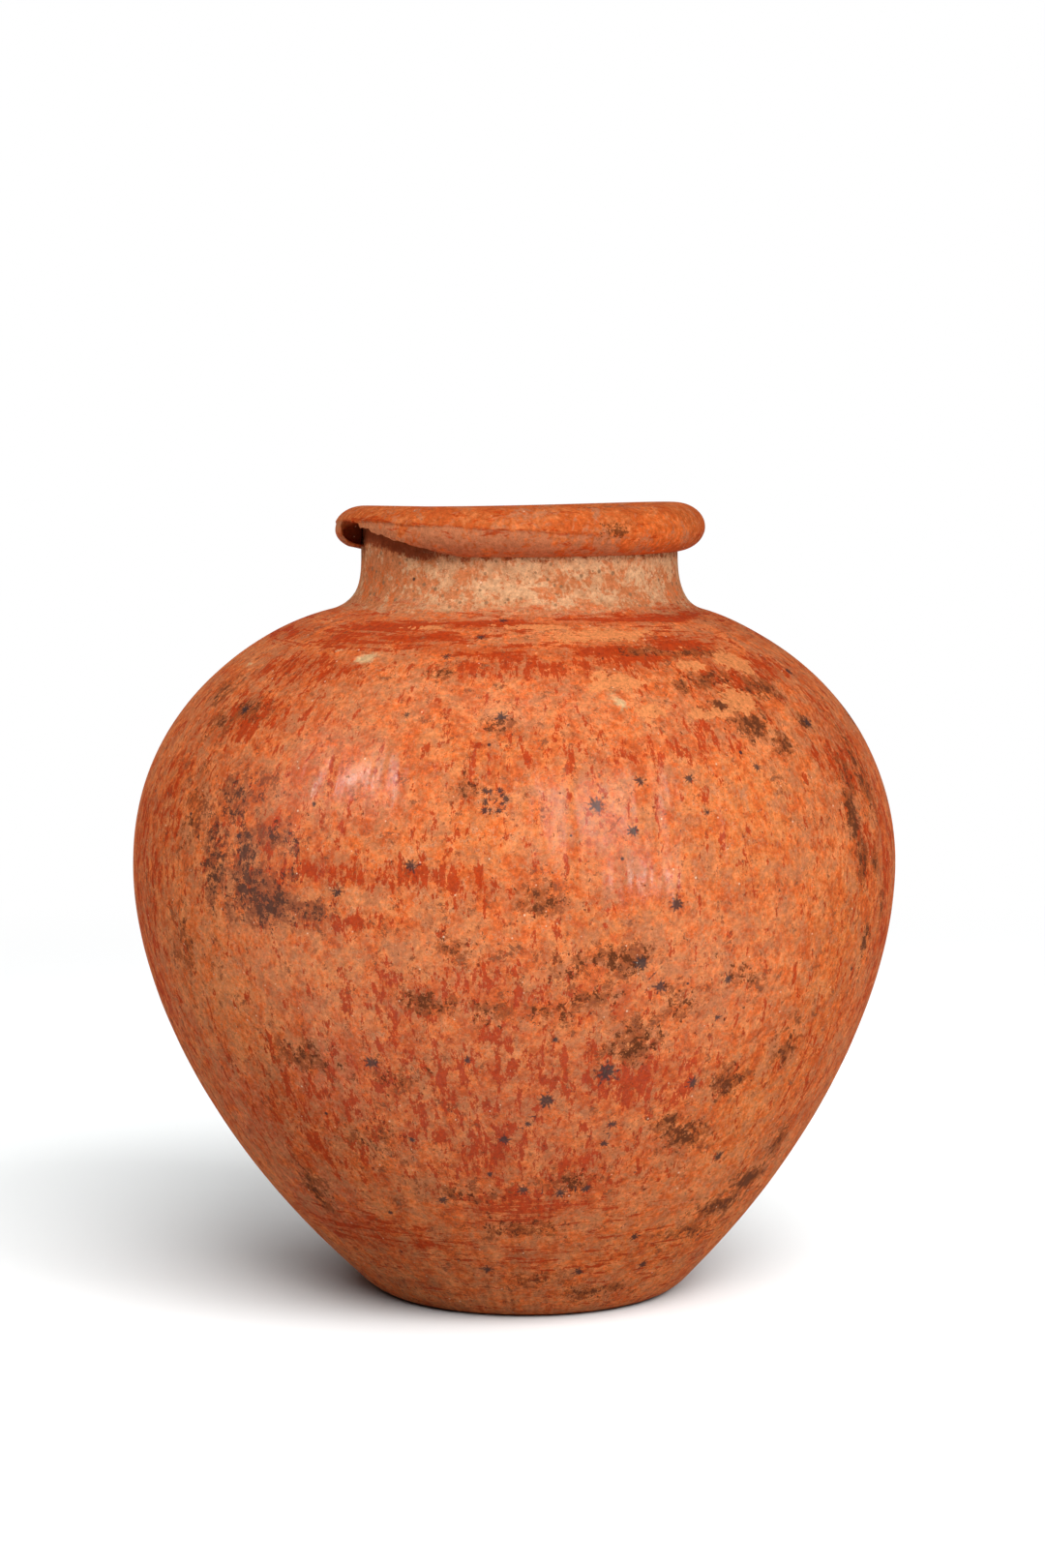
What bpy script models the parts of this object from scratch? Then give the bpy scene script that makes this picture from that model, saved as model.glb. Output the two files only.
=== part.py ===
"""Burnished red earthenware jar, hand-built from coils of clay.

The jar is modelled the way a potter builds it: a flat pat for the base, ring upon ring of flattened
coil for the wall, a collar for the neck, and a strip folded outwards and down over the collar for the
rim. Each ring has a ridged upper edge, and the ring above straddles it like a saddle, with a thin
line of luting slip between the two.

Metres, +Z up. The origin is on the standing face, under the centre of the belly, and -Y is the front.
"""

import math

import bpy
from mathutils import Vector
from mathutils.geometry import interpolate_bezier

# Outer shape of the jar, from the foot up
BASE_RADIUS = 0.0420
HEEL_RADIUS = 0.0535
HEEL_HEIGHT = 0.0080
HEEL_SLOPE = math.radians(45)
BELLY_RADIUS = 0.1135
BELLY_HEIGHT = 0.1280
SHOULDER_RISE = 0.0750
ROOT_RADIUS = 0.0560
ROOT_SLOPE = math.radians(14.5)
NECK_RISE = 0.0167
NECK_RADIUS = 0.0469

# Fullness of the curves between those places, as the lengths of their Bezier handles
HEEL_ROUND = 0.0045
LOWER_WALL_PULL = 0.0590
BELLY_PULL_DOWN = 0.0320
BELLY_PULL_UP = 0.0480
SHOULDER_PULL = 0.0185
NECK_ROOT_PULL = 0.0085
WAIST_PULL = 0.0080

# Clay thicknesses and the joints between the pieces
WALL = 0.0075
FLOOR_THICKNESS = 0.0115
FLOOR_ROUND = 0.0040
RIDGE = 0.0025
LUTE_GAP = 0.0003
WALL_COILS = 8
PAT_SEAM_HEIGHT = 0.0050
COLLAR_SEAM_RISE = 0.0055

# Folded rim: half of an ellipse outside the neck, a softer lip inside it and a hollow under the fold
RIM_REACH = 0.0090
RIM_HALF_HEIGHT = 0.0072
RIM_INSET = 0.0009
RIM_LIP = 0.0036
FLAP_THICKNESS = 0.0039

# Loss in the fold at the front left, where its edge has broken away, and the loose end that is left
# beside the break; angles from +X towards +Y
LOSS_FROM = math.radians(186)
LOSS_TO = math.radians(250)
LOSS_STEP = math.radians(5)
LOSS_HEIGHT = 0.0084
LOOSE_SPAN = math.radians(50)
LOOSE_GAP = 0.0030

# Unevenness of the hand-built shape
FOOT_LEAN = 0.0034
FOOT_LEAN_POWER = 2.3
NECK_SHIFT = 0.0016
NECK_SHIFT_SPAN = 0.0140
RIM_TILT = 0.00105
RIM_TILT_TOWARDS = math.radians(-60)
RIM_WARP = 0.00042
RIM_WARP_TOWARDS = math.radians(18)

# Facets
RING_SEGMENTS = 48
RIM_SEGMENTS = 80
CURVE_POINTS = 40
WALL_FACET = 0.0110
NECK_FACET = 0.0040
RIM_ARC_STEPS = 8

# Heights that follow from the sizes above
ROOT_HEIGHT = BELLY_HEIGHT + SHOULDER_RISE
WAIST_HEIGHT = ROOT_HEIGHT + NECK_RISE

OUTWARDS = Vector((1, 0, 0))
UPWARDS = Vector((0, 0, 1))


def station(radius, height):
    """A point of the section, which lies in the XZ plane."""
    return Vector((radius, 0, height))


def smooth_step(low, high, value):
    """0 below low, 1 above high, with an even ease between them."""
    share = min(1, max(0, (value - low) / (high - low)))
    return share * share * (3 - 2 * share)


def spread(first, last, longest):
    """Evenly spaced values from first to last, no further apart than longest."""
    count = max(1, math.ceil(abs(last - first) / longest))
    return [first + (last - first) * i / count for i in range(count + 1)]


class Outline:
    """The jar's outer profile as a fine line, measured by the distance along it from the foot."""

    def __init__(self, points):
        self.points = points
        self.lengths = [0.0]
        for before, after in zip(points, points[1:]):
            self.lengths.append(self.lengths[-1] + (after - before).length)

    def at(self, distance):
        index = 1
        while index < len(self.points) - 1 and self.lengths[index] < distance:
            index += 1
        start, end = self.lengths[index - 1], self.lengths[index]
        return self.points[index - 1].lerp(self.points[index], (distance - start) / (end - start))

    def inside(self, distance, depth):
        """The point this deep in the clay, straight in from the outer face."""
        reach = WALL / 8
        along = self.at(distance + reach) - self.at(distance - reach)
        inwards = Vector((-along.z, 0, along.x)).normalized()
        return self.at(distance) + inwards * depth

    def distance_at(self, height):
        index = next(i for i, point in enumerate(self.points) if point.z >= height)
        before, after = self.points[index - 1], self.points[index]
        share = (height - before.z) / (after.z - before.z)
        return self.lengths[index - 1] + share * (self.lengths[index] - self.lengths[index - 1])


def rim_centre():
    """Centre of the ellipse that the fold follows: its lowest edge is level with the neck's waist."""
    return station(NECK_RADIUS - RIM_INSET, WAIST_HEIGHT + RIM_HALF_HEIGHT)


def neck_top():
    """Height of the collar's upper edge, under the crown of the fold."""
    return rim_centre().z + RIM_HALF_HEIGHT - FLAP_THICKNESS - RIDGE / 4


def jar_outline():
    """Foot, lower wall, shoulder and neck as four Bezier curves, then the plain collar under the rim."""
    base_edge = station(BASE_RADIUS, 0)
    heel = station(HEEL_RADIUS, HEEL_HEIGHT)
    belly = station(BELLY_RADIUS, BELLY_HEIGHT)
    root = station(ROOT_RADIUS, ROOT_HEIGHT)
    waist = station(NECK_RADIUS, WAIST_HEIGHT)
    climb = station(math.cos(HEEL_SLOPE), math.sin(HEEL_SLOPE))
    close = station(-math.cos(ROOT_SLOPE), math.sin(ROOT_SLOPE))
    curves = (
        (base_edge, base_edge + OUTWARDS * HEEL_ROUND, heel - climb * HEEL_ROUND, heel),
        (heel, heel + climb * LOWER_WALL_PULL, belly - UPWARDS * BELLY_PULL_DOWN, belly),
        (belly, belly + UPWARDS * BELLY_PULL_UP, root - close * SHOULDER_PULL, root),
        (root, root + close * NECK_ROOT_PULL, waist - UPWARDS * WAIST_PULL, waist),
    )
    points = []
    for curve in curves:
        points += interpolate_bezier(*curve, CURVE_POINTS)[:-1]
    return Outline(points + [waist, station(NECK_RADIUS, neck_top() + RIDGE)])


def joint_step():
    """Half of the luting line, measured along the wall across the sloping sides of a ridge."""
    return LUTE_GAP / 2 / math.cos(math.atan2(RIDGE, WALL / 2))


def ring_section(outline, lower, upper, facet):
    """Closed section of one ring of wall between two distances: ridge on top, saddle underneath."""
    low, high = lower + joint_step(), upper - joint_step()
    outer = [outline.inside(distance, 0) for distance in spread(high, low, facet)]
    inner = [outline.inside(distance, WALL) for distance in spread(low, high, facet)]
    saddle = outline.inside(low + RIDGE, WALL / 2)
    ridge = outline.inside(high + RIDGE, WALL / 2)
    return outer + [saddle] + inner + [ridge]


def pat_section(outline, seam):
    """Open section of the base from the axis out to its edge and back: floor, ridge, heel, standing face."""
    top = seam - joint_step()
    inner_edge = outline.inside(top, WALL)
    ridge = outline.inside(top + RIDGE, WALL / 2)
    heel = [outline.inside(distance, 0) for distance in spread(top, 0, HEEL_ROUND / 2)]
    floor_edge = station(inner_edge.x - FLOOR_ROUND, FLOOR_THICKNESS)
    floor_centre, foot_centre = station(0, FLOOR_THICKNESS), station(0, 0)
    heel[-1] = station(BASE_RADIUS, 0)
    return [floor_centre, floor_edge, inner_edge, ridge] + heel + [foot_centre]


def ellipse_arc(centre, across, up, first, last, steps):
    """Points on an ellipse between two angles above the horizontal."""
    angles = [first + (last - first) * i / steps for i in range(steps + 1)]
    return [centre + station(across * math.cos(a), up * math.sin(a)) for a in angles]


def rim_section(outline, seam):
    """Closed section of the fold: crown and outer face, pressed edge, hollow, seat on the collar, lip."""
    centre = rim_centre()
    neck_face = NECK_RADIUS + LUTE_GAP
    edge_angle = -math.acos((RIM_INSET + LUTE_GAP + FLAP_THICKNESS / 4) / RIM_REACH)
    outer = ellipse_arc(centre, RIM_REACH, RIM_HALF_HEIGHT, math.pi / 2, edge_angle, RIM_ARC_STEPS)
    hollow_reach = RIM_REACH - FLAP_THICKNESS
    hollow_rise = RIM_HALF_HEIGHT - FLAP_THICKNESS
    hollow_angle = math.acos((RIM_INSET + LUTE_GAP) / hollow_reach)
    hollow = ellipse_arc(centre, hollow_reach, hollow_rise, -hollow_angle, hollow_angle, RIM_ARC_STEPS // 2)
    pressed = station(neck_face, outer[-1].z + LUTE_GAP)
    low = seam + joint_step()
    seat = [outline.inside(low, 0), outline.inside(low + RIDGE, WALL / 2), outline.inside(low, WALL)]
    lip_centre = station(centre.x, centre.z + RIM_HALF_HEIGHT - RIM_LIP)
    lip = ellipse_arc(lip_centre, seat[-1].x - centre.x, RIM_LIP, 0, math.pi / 2, RIM_ARC_STEPS // 2)
    return outer + [pressed] + hollow + seat + lip[:-1]


def loss_share(angle):
    """Share of the fold's missing height at an angle: a sharp break on one side, a long slant on the other."""
    turn = angle % (2 * math.pi)
    if not LOSS_FROM < turn < LOSS_TO:
        return 0.0
    slant = (LOSS_TO - turn) / (LOSS_TO - LOSS_FROM)
    return slant * smooth_step(LOSS_FROM, LOSS_FROM + LOSS_STEP, turn)


def loose_share(angle):
    """How far the fold's edge stands off the neck at an angle, most of all at the sharp break."""
    turn = angle % (2 * math.pi)
    return smooth_step(LOSS_FROM - LOOSE_SPAN, LOSS_FROM, turn) if turn < LOSS_TO else 0.0


def break_fold(mesh):
    """Draws the hanging edge up towards the crown where clay is lost, and off the neck beside the loss."""
    centre = rim_centre()
    hinge = centre.z + RIM_HALF_HEIGHT - FLAP_THICKNESS
    hanging = hinge - WAIST_HEIGHT
    neck_face = NECK_RADIUS + LUTE_GAP
    for vertex in mesh.vertices:
        place = vertex.co
        radius = math.hypot(place.x, place.y)
        if place.z >= hinge or radius < NECK_RADIUS + LUTE_GAP / 2:
            continue
        angle = math.atan2(place.y, place.x)
        low = max(0, (centre.z - place.z) / RIM_HALF_HEIGHT)
        inner = 1 - (radius - neck_face) / (centre.x + RIM_REACH - neck_face)
        place.xy *= 1 + LOOSE_GAP * loose_share(angle) * low * inner / radius
        place.z = hinge - (hinge - place.z) * (1 - loss_share(angle) * LOSS_HEIGHT / hanging)


def shape_by_hand(mesh):
    """Gives every piece the same unevenness: the foot leans, the neck sits aside and the rim is warped."""
    half_span = NECK_SHIFT_SPAN / 2
    for vertex in mesh.vertices:
        place = vertex.co
        angle = math.atan2(place.y, place.x)
        below_belly = max(0, 1 - place.z / BELLY_HEIGHT)
        lean = FOOT_LEAN * below_belly**FOOT_LEAN_POWER
        aside = NECK_SHIFT * smooth_step(ROOT_HEIGHT - half_span, ROOT_HEIGHT + half_span, place.z)
        tilt = RIM_TILT * math.cos(angle - RIM_TILT_TOWARDS)
        warp = RIM_WARP * math.cos(2 * (angle - RIM_WARP_TOWARDS))
        place.z += (tilt + warp) * smooth_step(ROOT_HEIGHT, WAIST_HEIGHT, place.z)
        place.x += lean + aside


def turned(name, section, closed, segments, material, collection, carve=None):
    """A section turned about the Z axis with a Screw, then carved and shaped by hand."""
    profile = bpy.data.meshes.new(name)
    edges = [(i, i + 1) for i in range(len(section) - 1)]
    if closed:
        edges.append((len(section) - 1, 0))
    profile.from_pydata(section, edges, [])
    piece = bpy.data.objects.new(name, profile)
    collection.objects.link(piece)
    screw = piece.modifiers.new("turn", "SCREW")
    screw.steps = screw.render_steps = segments
    screw.use_merge_vertices = True
    screw.merge_threshold = 0.00001
    solid = bpy.data.meshes.new_from_object(piece.evaluated_get(bpy.context.evaluated_depsgraph_get()))
    piece.modifiers.clear()
    piece.data = solid
    bpy.data.meshes.remove(profile)
    solid.name = name
    if carve:
        carve(solid)
    shape_by_hand(solid)
    solid.shade_smooth()
    solid.set_sharp_from_angle(angle=math.radians(35))
    solid.materials.append(material)
    return piece


def clay(name, colour, roughness):
    """An earthenware finish."""
    material = bpy.data.materials.new(name)
    material.use_nodes = True
    shader = material.node_tree.nodes["Principled BSDF"]
    shader.inputs["Base Color"].default_value = (*colour, 1)
    shader.inputs["Roughness"].default_value = roughness
    shader.inputs["Metallic"].default_value = 0
    return material


def main():
    for old in list(bpy.data.objects):
        bpy.data.objects.remove(old, do_unlink=True)
    jar = bpy.data.collections.new("burnished_jar")
    bpy.context.scene.collection.children.link(jar)

    red_slip = clay("burnished_red_slip", (0.50, 0.125, 0.040), 0.42)
    bare_clay = clay("bare_buff_clay", (0.56, 0.29, 0.14), 0.75)
    rim_slip = clay("rim_orange_slip", (0.52, 0.155, 0.045), 0.55)

    outline = jar_outline()
    pat_seam = outline.distance_at(PAT_SEAM_HEIGHT)
    collar_seam = outline.distance_at(ROOT_HEIGHT + COLLAR_SEAM_RISE)
    rim_seam = outline.distance_at(neck_top())

    turned("base_pat", pat_section(outline, pat_seam), False, RING_SEGMENTS, red_slip, jar)
    course = (collar_seam - pat_seam) / WALL_COILS
    for number in range(WALL_COILS):
        lower = pat_seam + course * number
        section = ring_section(outline, lower, lower + course, WALL_FACET)
        turned(f"wall_coil_{number + 1}", section, True, RING_SEGMENTS, red_slip, jar)
    collar = ring_section(outline, collar_seam, rim_seam, NECK_FACET)
    turned("neck_collar", collar, True, RING_SEGMENTS, bare_clay, jar)
    turned("rim_fold", rim_section(outline, rim_seam), True, RIM_SEGMENTS, rim_slip, jar, break_fold)


main()
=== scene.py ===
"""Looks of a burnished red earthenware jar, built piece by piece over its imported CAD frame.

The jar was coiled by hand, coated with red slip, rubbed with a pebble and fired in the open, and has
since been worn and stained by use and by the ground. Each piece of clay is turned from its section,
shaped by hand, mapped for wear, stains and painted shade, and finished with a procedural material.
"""

import math
from collections import namedtuple

import bmesh
import bpy
import numpy as np
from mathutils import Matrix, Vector
from mathutils.geometry import interpolate_bezier


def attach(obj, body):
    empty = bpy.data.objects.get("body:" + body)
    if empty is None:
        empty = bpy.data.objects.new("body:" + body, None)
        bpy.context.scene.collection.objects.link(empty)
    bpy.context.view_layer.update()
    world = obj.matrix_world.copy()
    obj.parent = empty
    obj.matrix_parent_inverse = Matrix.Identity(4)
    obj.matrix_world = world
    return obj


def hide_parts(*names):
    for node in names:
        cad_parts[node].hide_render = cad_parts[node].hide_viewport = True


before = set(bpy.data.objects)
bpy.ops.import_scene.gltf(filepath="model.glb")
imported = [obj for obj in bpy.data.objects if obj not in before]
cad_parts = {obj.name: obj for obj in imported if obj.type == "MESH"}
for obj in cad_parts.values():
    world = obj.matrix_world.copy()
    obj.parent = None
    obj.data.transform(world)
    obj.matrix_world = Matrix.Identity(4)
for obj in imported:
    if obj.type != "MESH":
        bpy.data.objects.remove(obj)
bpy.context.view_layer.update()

bl_info = {
    "name": "Burnished earthenware jar",
    "version": (1, 0, 0),
    "blender": (4, 5, 0),
    "location": "View3D > Sidebar > Jar",
    "description": "Builds a coiled, red-slipped and burnished earthenware jar and a plain stage for it",
    "category": "Object",
}

BODY = "root"
# Millimetres in a metre
MM = 1000
WALL_COILS = 8
BASE_FACETS = 384
WALL_FACETS = 512
RIM_FACETS = 720
CURVE_STEPS = 200
OUTWARDS = Vector((1, 0, 0))
UPWARDS = Vector((0, 0, 1))
# Longest steps between the rows of a section, and the thin row at each end of an outer face, in metres
OUTER_STEP = 0.0014
INNER_STEP = 0.0040
HEEL_STEP = 0.0010
FLAT_STEP = 0.0060
SEAM_ROW = 0.00012
WELD = 0.000002
SHARP_ANGLE = math.radians(40)
# Steps round the rim's outer face, round its lip, and down the upper and lower half of the fold's hollow
RIM_STEPS = 56
LIP_STEPS = 12
HOLLOW_STEPS = (8, 10)
# How many times as thick the flap's clay is at its hanging edge as at its front
EDGE_SKIN = 1.5
# Radius of the cylinder on which the wall's patterns are straightened
STRAIGHT_RADIUS = 0.09
# Behind the sharp end of the rim's break the flap is chipped and curls up: from and to where, in radians
# back from the end, and by what share of the flap
CHIP_SPAN = (0.8, 0.2)
CHIP_SHARE = 0.12
CURL_SPAN = (1.0, 0.25)
CURL_SHARE = 0.19
# Waves of the broken edge: their share of the loss, how many go round the rim, and where they start
EDGE_WAVES = ((0.04, 47, 0), (0.025, 113, 1))
# The hollow opens over a span of angle before the sharp end, and closes over one past the slanting end
OPEN_SPAN = (0.075, 0.005)
CLOSE_SPAN = 0.16
# Bites and teeth of the torn end: their reach in radians, and how fast they follow each other in radians
# per metre
BITE_REACH = 0.014
BITE_PACE = 1500
TOOTH_REACH = 0.006
TOOTH_PACE = 4100
# Angle within which a point still counts as lying on the sharp end
HAIR = 0.001
# Strip pressed in under the rim's fold line: its depth, the ease of its edge and of its way in from the
# crown, and the width of the line and how it wavers
STRIP_DEPTH = 0.00060
STRIP_EDGE = 0.0009
CROWN_EASE = 0.003
LINE_WIDTH = 0.0006
LINE_WAVER = 0.0002
LINE_WAVES = 13
# Painted shadow on the neck below the fold's edge: how far down it goes under a whole flap, what the
# break and then the open hollow add, and its strength under a whole flap
SHADOW_REACH = 0.0014
BREAK_REACH = 0.0034
HOLLOW_REACH = 0.0020
SHADOW_SHARE = 0.35
# How sharply the foot's lean grows downwards, and the radii within which a spot is felt
LEAN_CURVE = 2.3
SPOT_REACH = 4.0
# Distances up the wall, in metres, between which strokes turn round the foot and the root of the neck,
# the slip gives way to bare clay, and painted shade darkens the neck under the rim
FOOT_BAND = (0.075, 0.045)
ROOT_BAND = (0.222, 0.240)
BARE_BAND = (0.2775, 0.2850)
UNDER_RIM_SHADE_BAND = (0.266, 0.275)
# Floor sheet and lamps
FLOOR_HALF = 4.0
FLOOR_DROP = 0.0002
LAMP_DISTANCE = 1.65
LAMP_AIM = Vector((0, 0, 0.12))
# One row of a piece: its point in the section, its distance up the wall, 1 where it is hidden inside the
# clay or the jar, and how far it is down the hanging flap of the rim
Row = namedtuple("Row", "point climb inside fold", defaults=(0.0, 0.0))
CARRIED = ("climb", "inside", "fold")


def linear(hex_colour):
    """Linear colour of an sRGB hex value."""
    parts = [int(hex_colour[i : i + 2], 16) / 255 for i in (1, 3, 5)]
    return [p / 12.92 if p <= 0.04045 else ((p + 0.055) / 1.055) ** 2.4 for p in parts]


def length(name, description, default):
    """A size of the jar, in metres."""
    return bpy.props.FloatProperty(
        name=name, description=description, default=default, unit="LENGTH", precision=4
    )


def turn(name, description, degrees):
    """An angle of the jar."""
    return bpy.props.FloatProperty(
        name=name, description=description, default=math.radians(degrees), subtype="ANGLE"
    )


def tint(name, description, hex_colour):
    """A colour of the clay or of what stains it."""
    return bpy.props.FloatVectorProperty(
        name=name, description=description, default=linear(hex_colour), subtype="COLOR", size=3
    )


def power(name, description, watts):
    """The strength of a lamp."""
    return bpy.props.FloatProperty(name=name, description=description, default=watts, unit="POWER")


class JarShape(bpy.types.PropertyGroup):
    """Sizes of the jar, which has its CAD solids' main shapes and a finer break in the rim"""

    base_radius: length("Base radius", "Radius of the standing face", 0.0420)
    heel_radius: length("Heel radius", "Radius where the heel runs into the wall", 0.0535)
    heel_height: length("Heel height", "Height where the heel runs into the wall", 0.0080)
    heel_slope: turn("Heel slope", "Climb of the lower wall at the heel", 45)
    belly_radius: length("Belly radius", "Widest radius of the jar", 0.1135)
    belly_height: length("Belly height", "Height of the widest radius", 0.1280)
    shoulder_rise: length("Shoulder rise", "From the belly up to the root of the neck", 0.0750)
    root_radius: length("Root radius", "Radius at the root of the neck", 0.0560)
    root_slope: turn("Root slope", "Climb of the shoulder at the root of the neck", 14.5)
    neck_rise: length("Neck rise", "From the root up to the waist of the neck", 0.0167)
    neck_radius: length("Neck radius", "Radius of the neck under the rim", 0.0469)
    heel_round: length("Heel round", "Fullness of the heel", 0.0045)
    lower_wall_pull: length("Lower wall pull", "Fullness above the heel", 0.0590)
    belly_pull_down: length("Belly pull down", "Fullness below the belly", 0.0320)
    belly_pull_up: length("Belly pull up", "Fullness above the belly", 0.0480)
    shoulder_pull: length("Shoulder pull", "Fullness of the shoulder", 0.0185)
    neck_root_pull: length("Neck root pull", "Fullness above the root of the neck", 0.0085)
    waist_pull: length("Waist pull", "Fullness below the waist of the neck", 0.0080)
    wall: length("Wall", "Thickness of the wall", 0.0075)
    floor_thickness: length("Floor", "Thickness of the floor", 0.0115)
    floor_round: length("Floor round", "Slope between the floor and the wall", 0.0040)
    ridge: length("Ridge", "Height of the ridge that the next ring straddles", 0.0025)
    lute_gap: length("Lute gap", "Luting line between two rings", 0.0003)
    pat_seam_height: length("Pat seam", "Height of the seam round the base", 0.0050)
    collar_seam_rise: length("Collar seam", "Height of the collar's seam above the root", 0.0055)
    rim_reach: length("Rim reach", "Half width of the folded rim's ellipse", 0.0090)
    rim_half_height: length("Rim half height", "Half height of the folded rim", 0.0072)
    rim_inset: length("Rim inset", "Crown of the fold inside the face of the neck", 0.0009)
    rim_lip: length("Rim lip", "Height of the lip inside the mouth", 0.0036)
    flap_thickness: length("Flap thickness", "Thickness of the clay over the fold's hinge", 0.0039)
    fold_skin: length("Fold skin", "Thickness of the flap's clay where it broke", 0.0011)
    hollow_up: length("Hollow up", "Height of the fold's hollow above its middle", 0.0018)
    loss_from: turn("Loss from", "Sharp end of the break in the fold", 195)
    loss_to: turn("Loss to", "Slanting end of the break in the fold", 250)
    loss_slant: turn("Loss slant", "Length of the slanting edge of the break", 45)
    loss_height: length("Loss height", "Height of the flap that is lost", 0.0103)
    foot_lean: length("Foot lean", "How far the foot stands to the right", 0.0034)
    neck_shift: length("Neck shift", "How far the neck stands to the right", 0.0016)
    neck_shift_span: length("Neck shift span", "Height over which the neck moves aside", 0.0140)
    rim_tilt: length("Rim tilt", "Rise of the rim at its highest side", 0.00105)
    rim_tilt_towards: turn("Rim tilt towards", "Side where the rim is highest", -60)
    rim_warp: length("Rim warp", "Saddle shape of the rim", 0.00042)
    rim_warp_towards: turn("Rim warp towards", "Side where the saddle rises", 18)
    lump_height: length("Lump height", "Unevenness left by the potter's hand", 0.0005)
    lump_size: length("Lump size", "Spacing of that unevenness", 0.0340)


class JarFinish(bpy.types.PropertyGroup):
    """Colours of the clay, the slip and the stains"""

    slip_orange: tint("Slip orange", "Burnished slip where it is sound", "#DC7944")
    slip_yellow: tint("Slip yellow", "Slip that fired yellower", "#E27E3C")
    slip_pink: tint("Slip pink", "Slip that fired pinker", "#D06E4C")
    slip_vivid: tint("Slip vivid", "Slip at its brightest", "#E86C2A")
    slip_dull: tint("Slip dull", "Slip greyed by handling", "#C2754A")
    slip_rust: tint("Slip rust", "Slip laid on thicker", "#C05020")
    slip_red: tint("Slip red", "Thick strokes of slip", "#B43402")
    worn_light: tint("Worn light", "Slip rubbed thin", "#EB9157")
    worn_buff: tint("Worn buff", "Slip worn down to pinkish grit", "#E2A074")
    flake_orange: tint("Flake orange", "Smooth ground where slip flaked off", "#E48A50")
    stain_thin: tint("Stain thin", "Thin earth stain", "#984A20")
    stain_brown: tint("Stain brown", "Thick earth stain", "#582C14")
    soot: tint("Soot", "Dark fire cloud from the firing", "#45281C")
    smoke: tint("Smoke", "Thin edge of the fire cloud", "#86442A")
    manganese: tint("Manganese", "Black specks that grew in the ground", "#2E2526")
    lime: tint("Lime", "Pale lime spots and chips", "#E2BC8A")
    neck_buff: tint("Neck buff", "Bare clay of the neck", "#CC9266")
    neck_orange: tint("Neck orange", "Thin slip left on the neck", "#C66C3A")
    # This colour is also laid as painted shade on the neck under the rim
    neck_grit_and_painted_shade: tint("Neck grit and painted shade", "Grey-brown grains in the neck's clay", "#946C4C")
    neck_cream: tint("Neck cream", "Palest grit of the neck", "#E2B488")
    rim_orange: tint("Rim orange", "Smoothed slip of the rim", "#C8602B")
    rim_dull: tint("Rim dull", "Rubbed strip under the fold line", "#BE7650")
    # This colour is also laid as the painted shadow under the fold's edge and as painted shade along the
    # fold line
    dark_clay_and_painted_shade: tint("Dark clay and painted shade", "Dark core of the clay in the break", "#90401E")
    inner_clay: tint("Inner clay", "Wiped clay inside the jar", "#C48E62")
    spark: tint("Spark", "Grains of mica and sand", "#FAD6B4")


class JarStage(bpy.types.PropertyGroup):
    """Camera, floor and light"""

    camera_place: bpy.props.FloatVectorProperty(
        name="Camera place",
        description="Where the camera stands",
        default=(0.0025, -1.0900, 0.2619),
        subtype="TRANSLATION",
        unit="LENGTH",
    )
    camera_pitch: turn("Camera pitch", "How far the camera looks down", 5.81)
    camera_lens: bpy.props.FloatProperty(
        name="Lens", description="Focal length on a 36 mm sensor", default=84.25, unit="CAMERA"
    )
    key_power: power("Key power", "Soft light at the right", 16.8)
    fill_power: power("Fill power", "Soft light at the left", 3.2)
    low_gleam_power: power("Low gleam power", "Small low light at the right", 4.8)
    high_gleam_power: power("High gleam power", "Small high light at the left", 8.6)
    mouth_power: power("Mouth power", "Faint light from above into the mouth", 2.4)
    floor_key_power: power("Floor key power", "Light that draws the shadow", 32.0)
    floor_front_power: power("Floor front power", "Light on the floor before the jar", 34.0)
    floor_top_power: power("Floor top power", "Light that softens the shadow", 62.0)
    room_light: bpy.props.FloatProperty(
        name="Room light", description="Even light of the room", default=0.05, min=0
    )
    floor_paper: tint("Floor paper", "Cool white of the floor", "#CED0D0")
    floor_bounce: bpy.props.FloatProperty(
        name="Floor bounce", description="Share of light thrown back on the jar", default=0.20, min=0
    )


# Marks on the jar, each with its bearing from the front in degrees (to the right is positive), its
# height, half width and half height in millimetres, and its strength. The places of those at the front
# were picked in a photograph, worked out in degrees and millimetres, and rounded. The others are
# made up to match
FIRE_CLOUD = (
    (-45, 154, 12, 9, 0.85),
    (-40, 158, 12, 6, 0.6),
    (-48, 144, 8, 12, 0.75),
    (-47, 136, 7, 14, 1.0),
    (-41, 141, 7, 9, 0.95),
    (-40, 132, 10, 9, 1.05),
    (-36, 127, 13, 7, 1.05),
    (-30, 126, 10, 4.5, 0.9),
    (-36, 146, 10, 4, 0.9),
    (-32, 143, 5, 5, 0.7),
    (-33, 135, 8, 4, 0.7),
    (-43, 127, 9, 6, 0.7),
    (150, 120, 22, 18, 0.9),
    (165, 132, 12, 12, 0.8),
    (-140, 90, 16, 10, 0.6),
)
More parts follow.
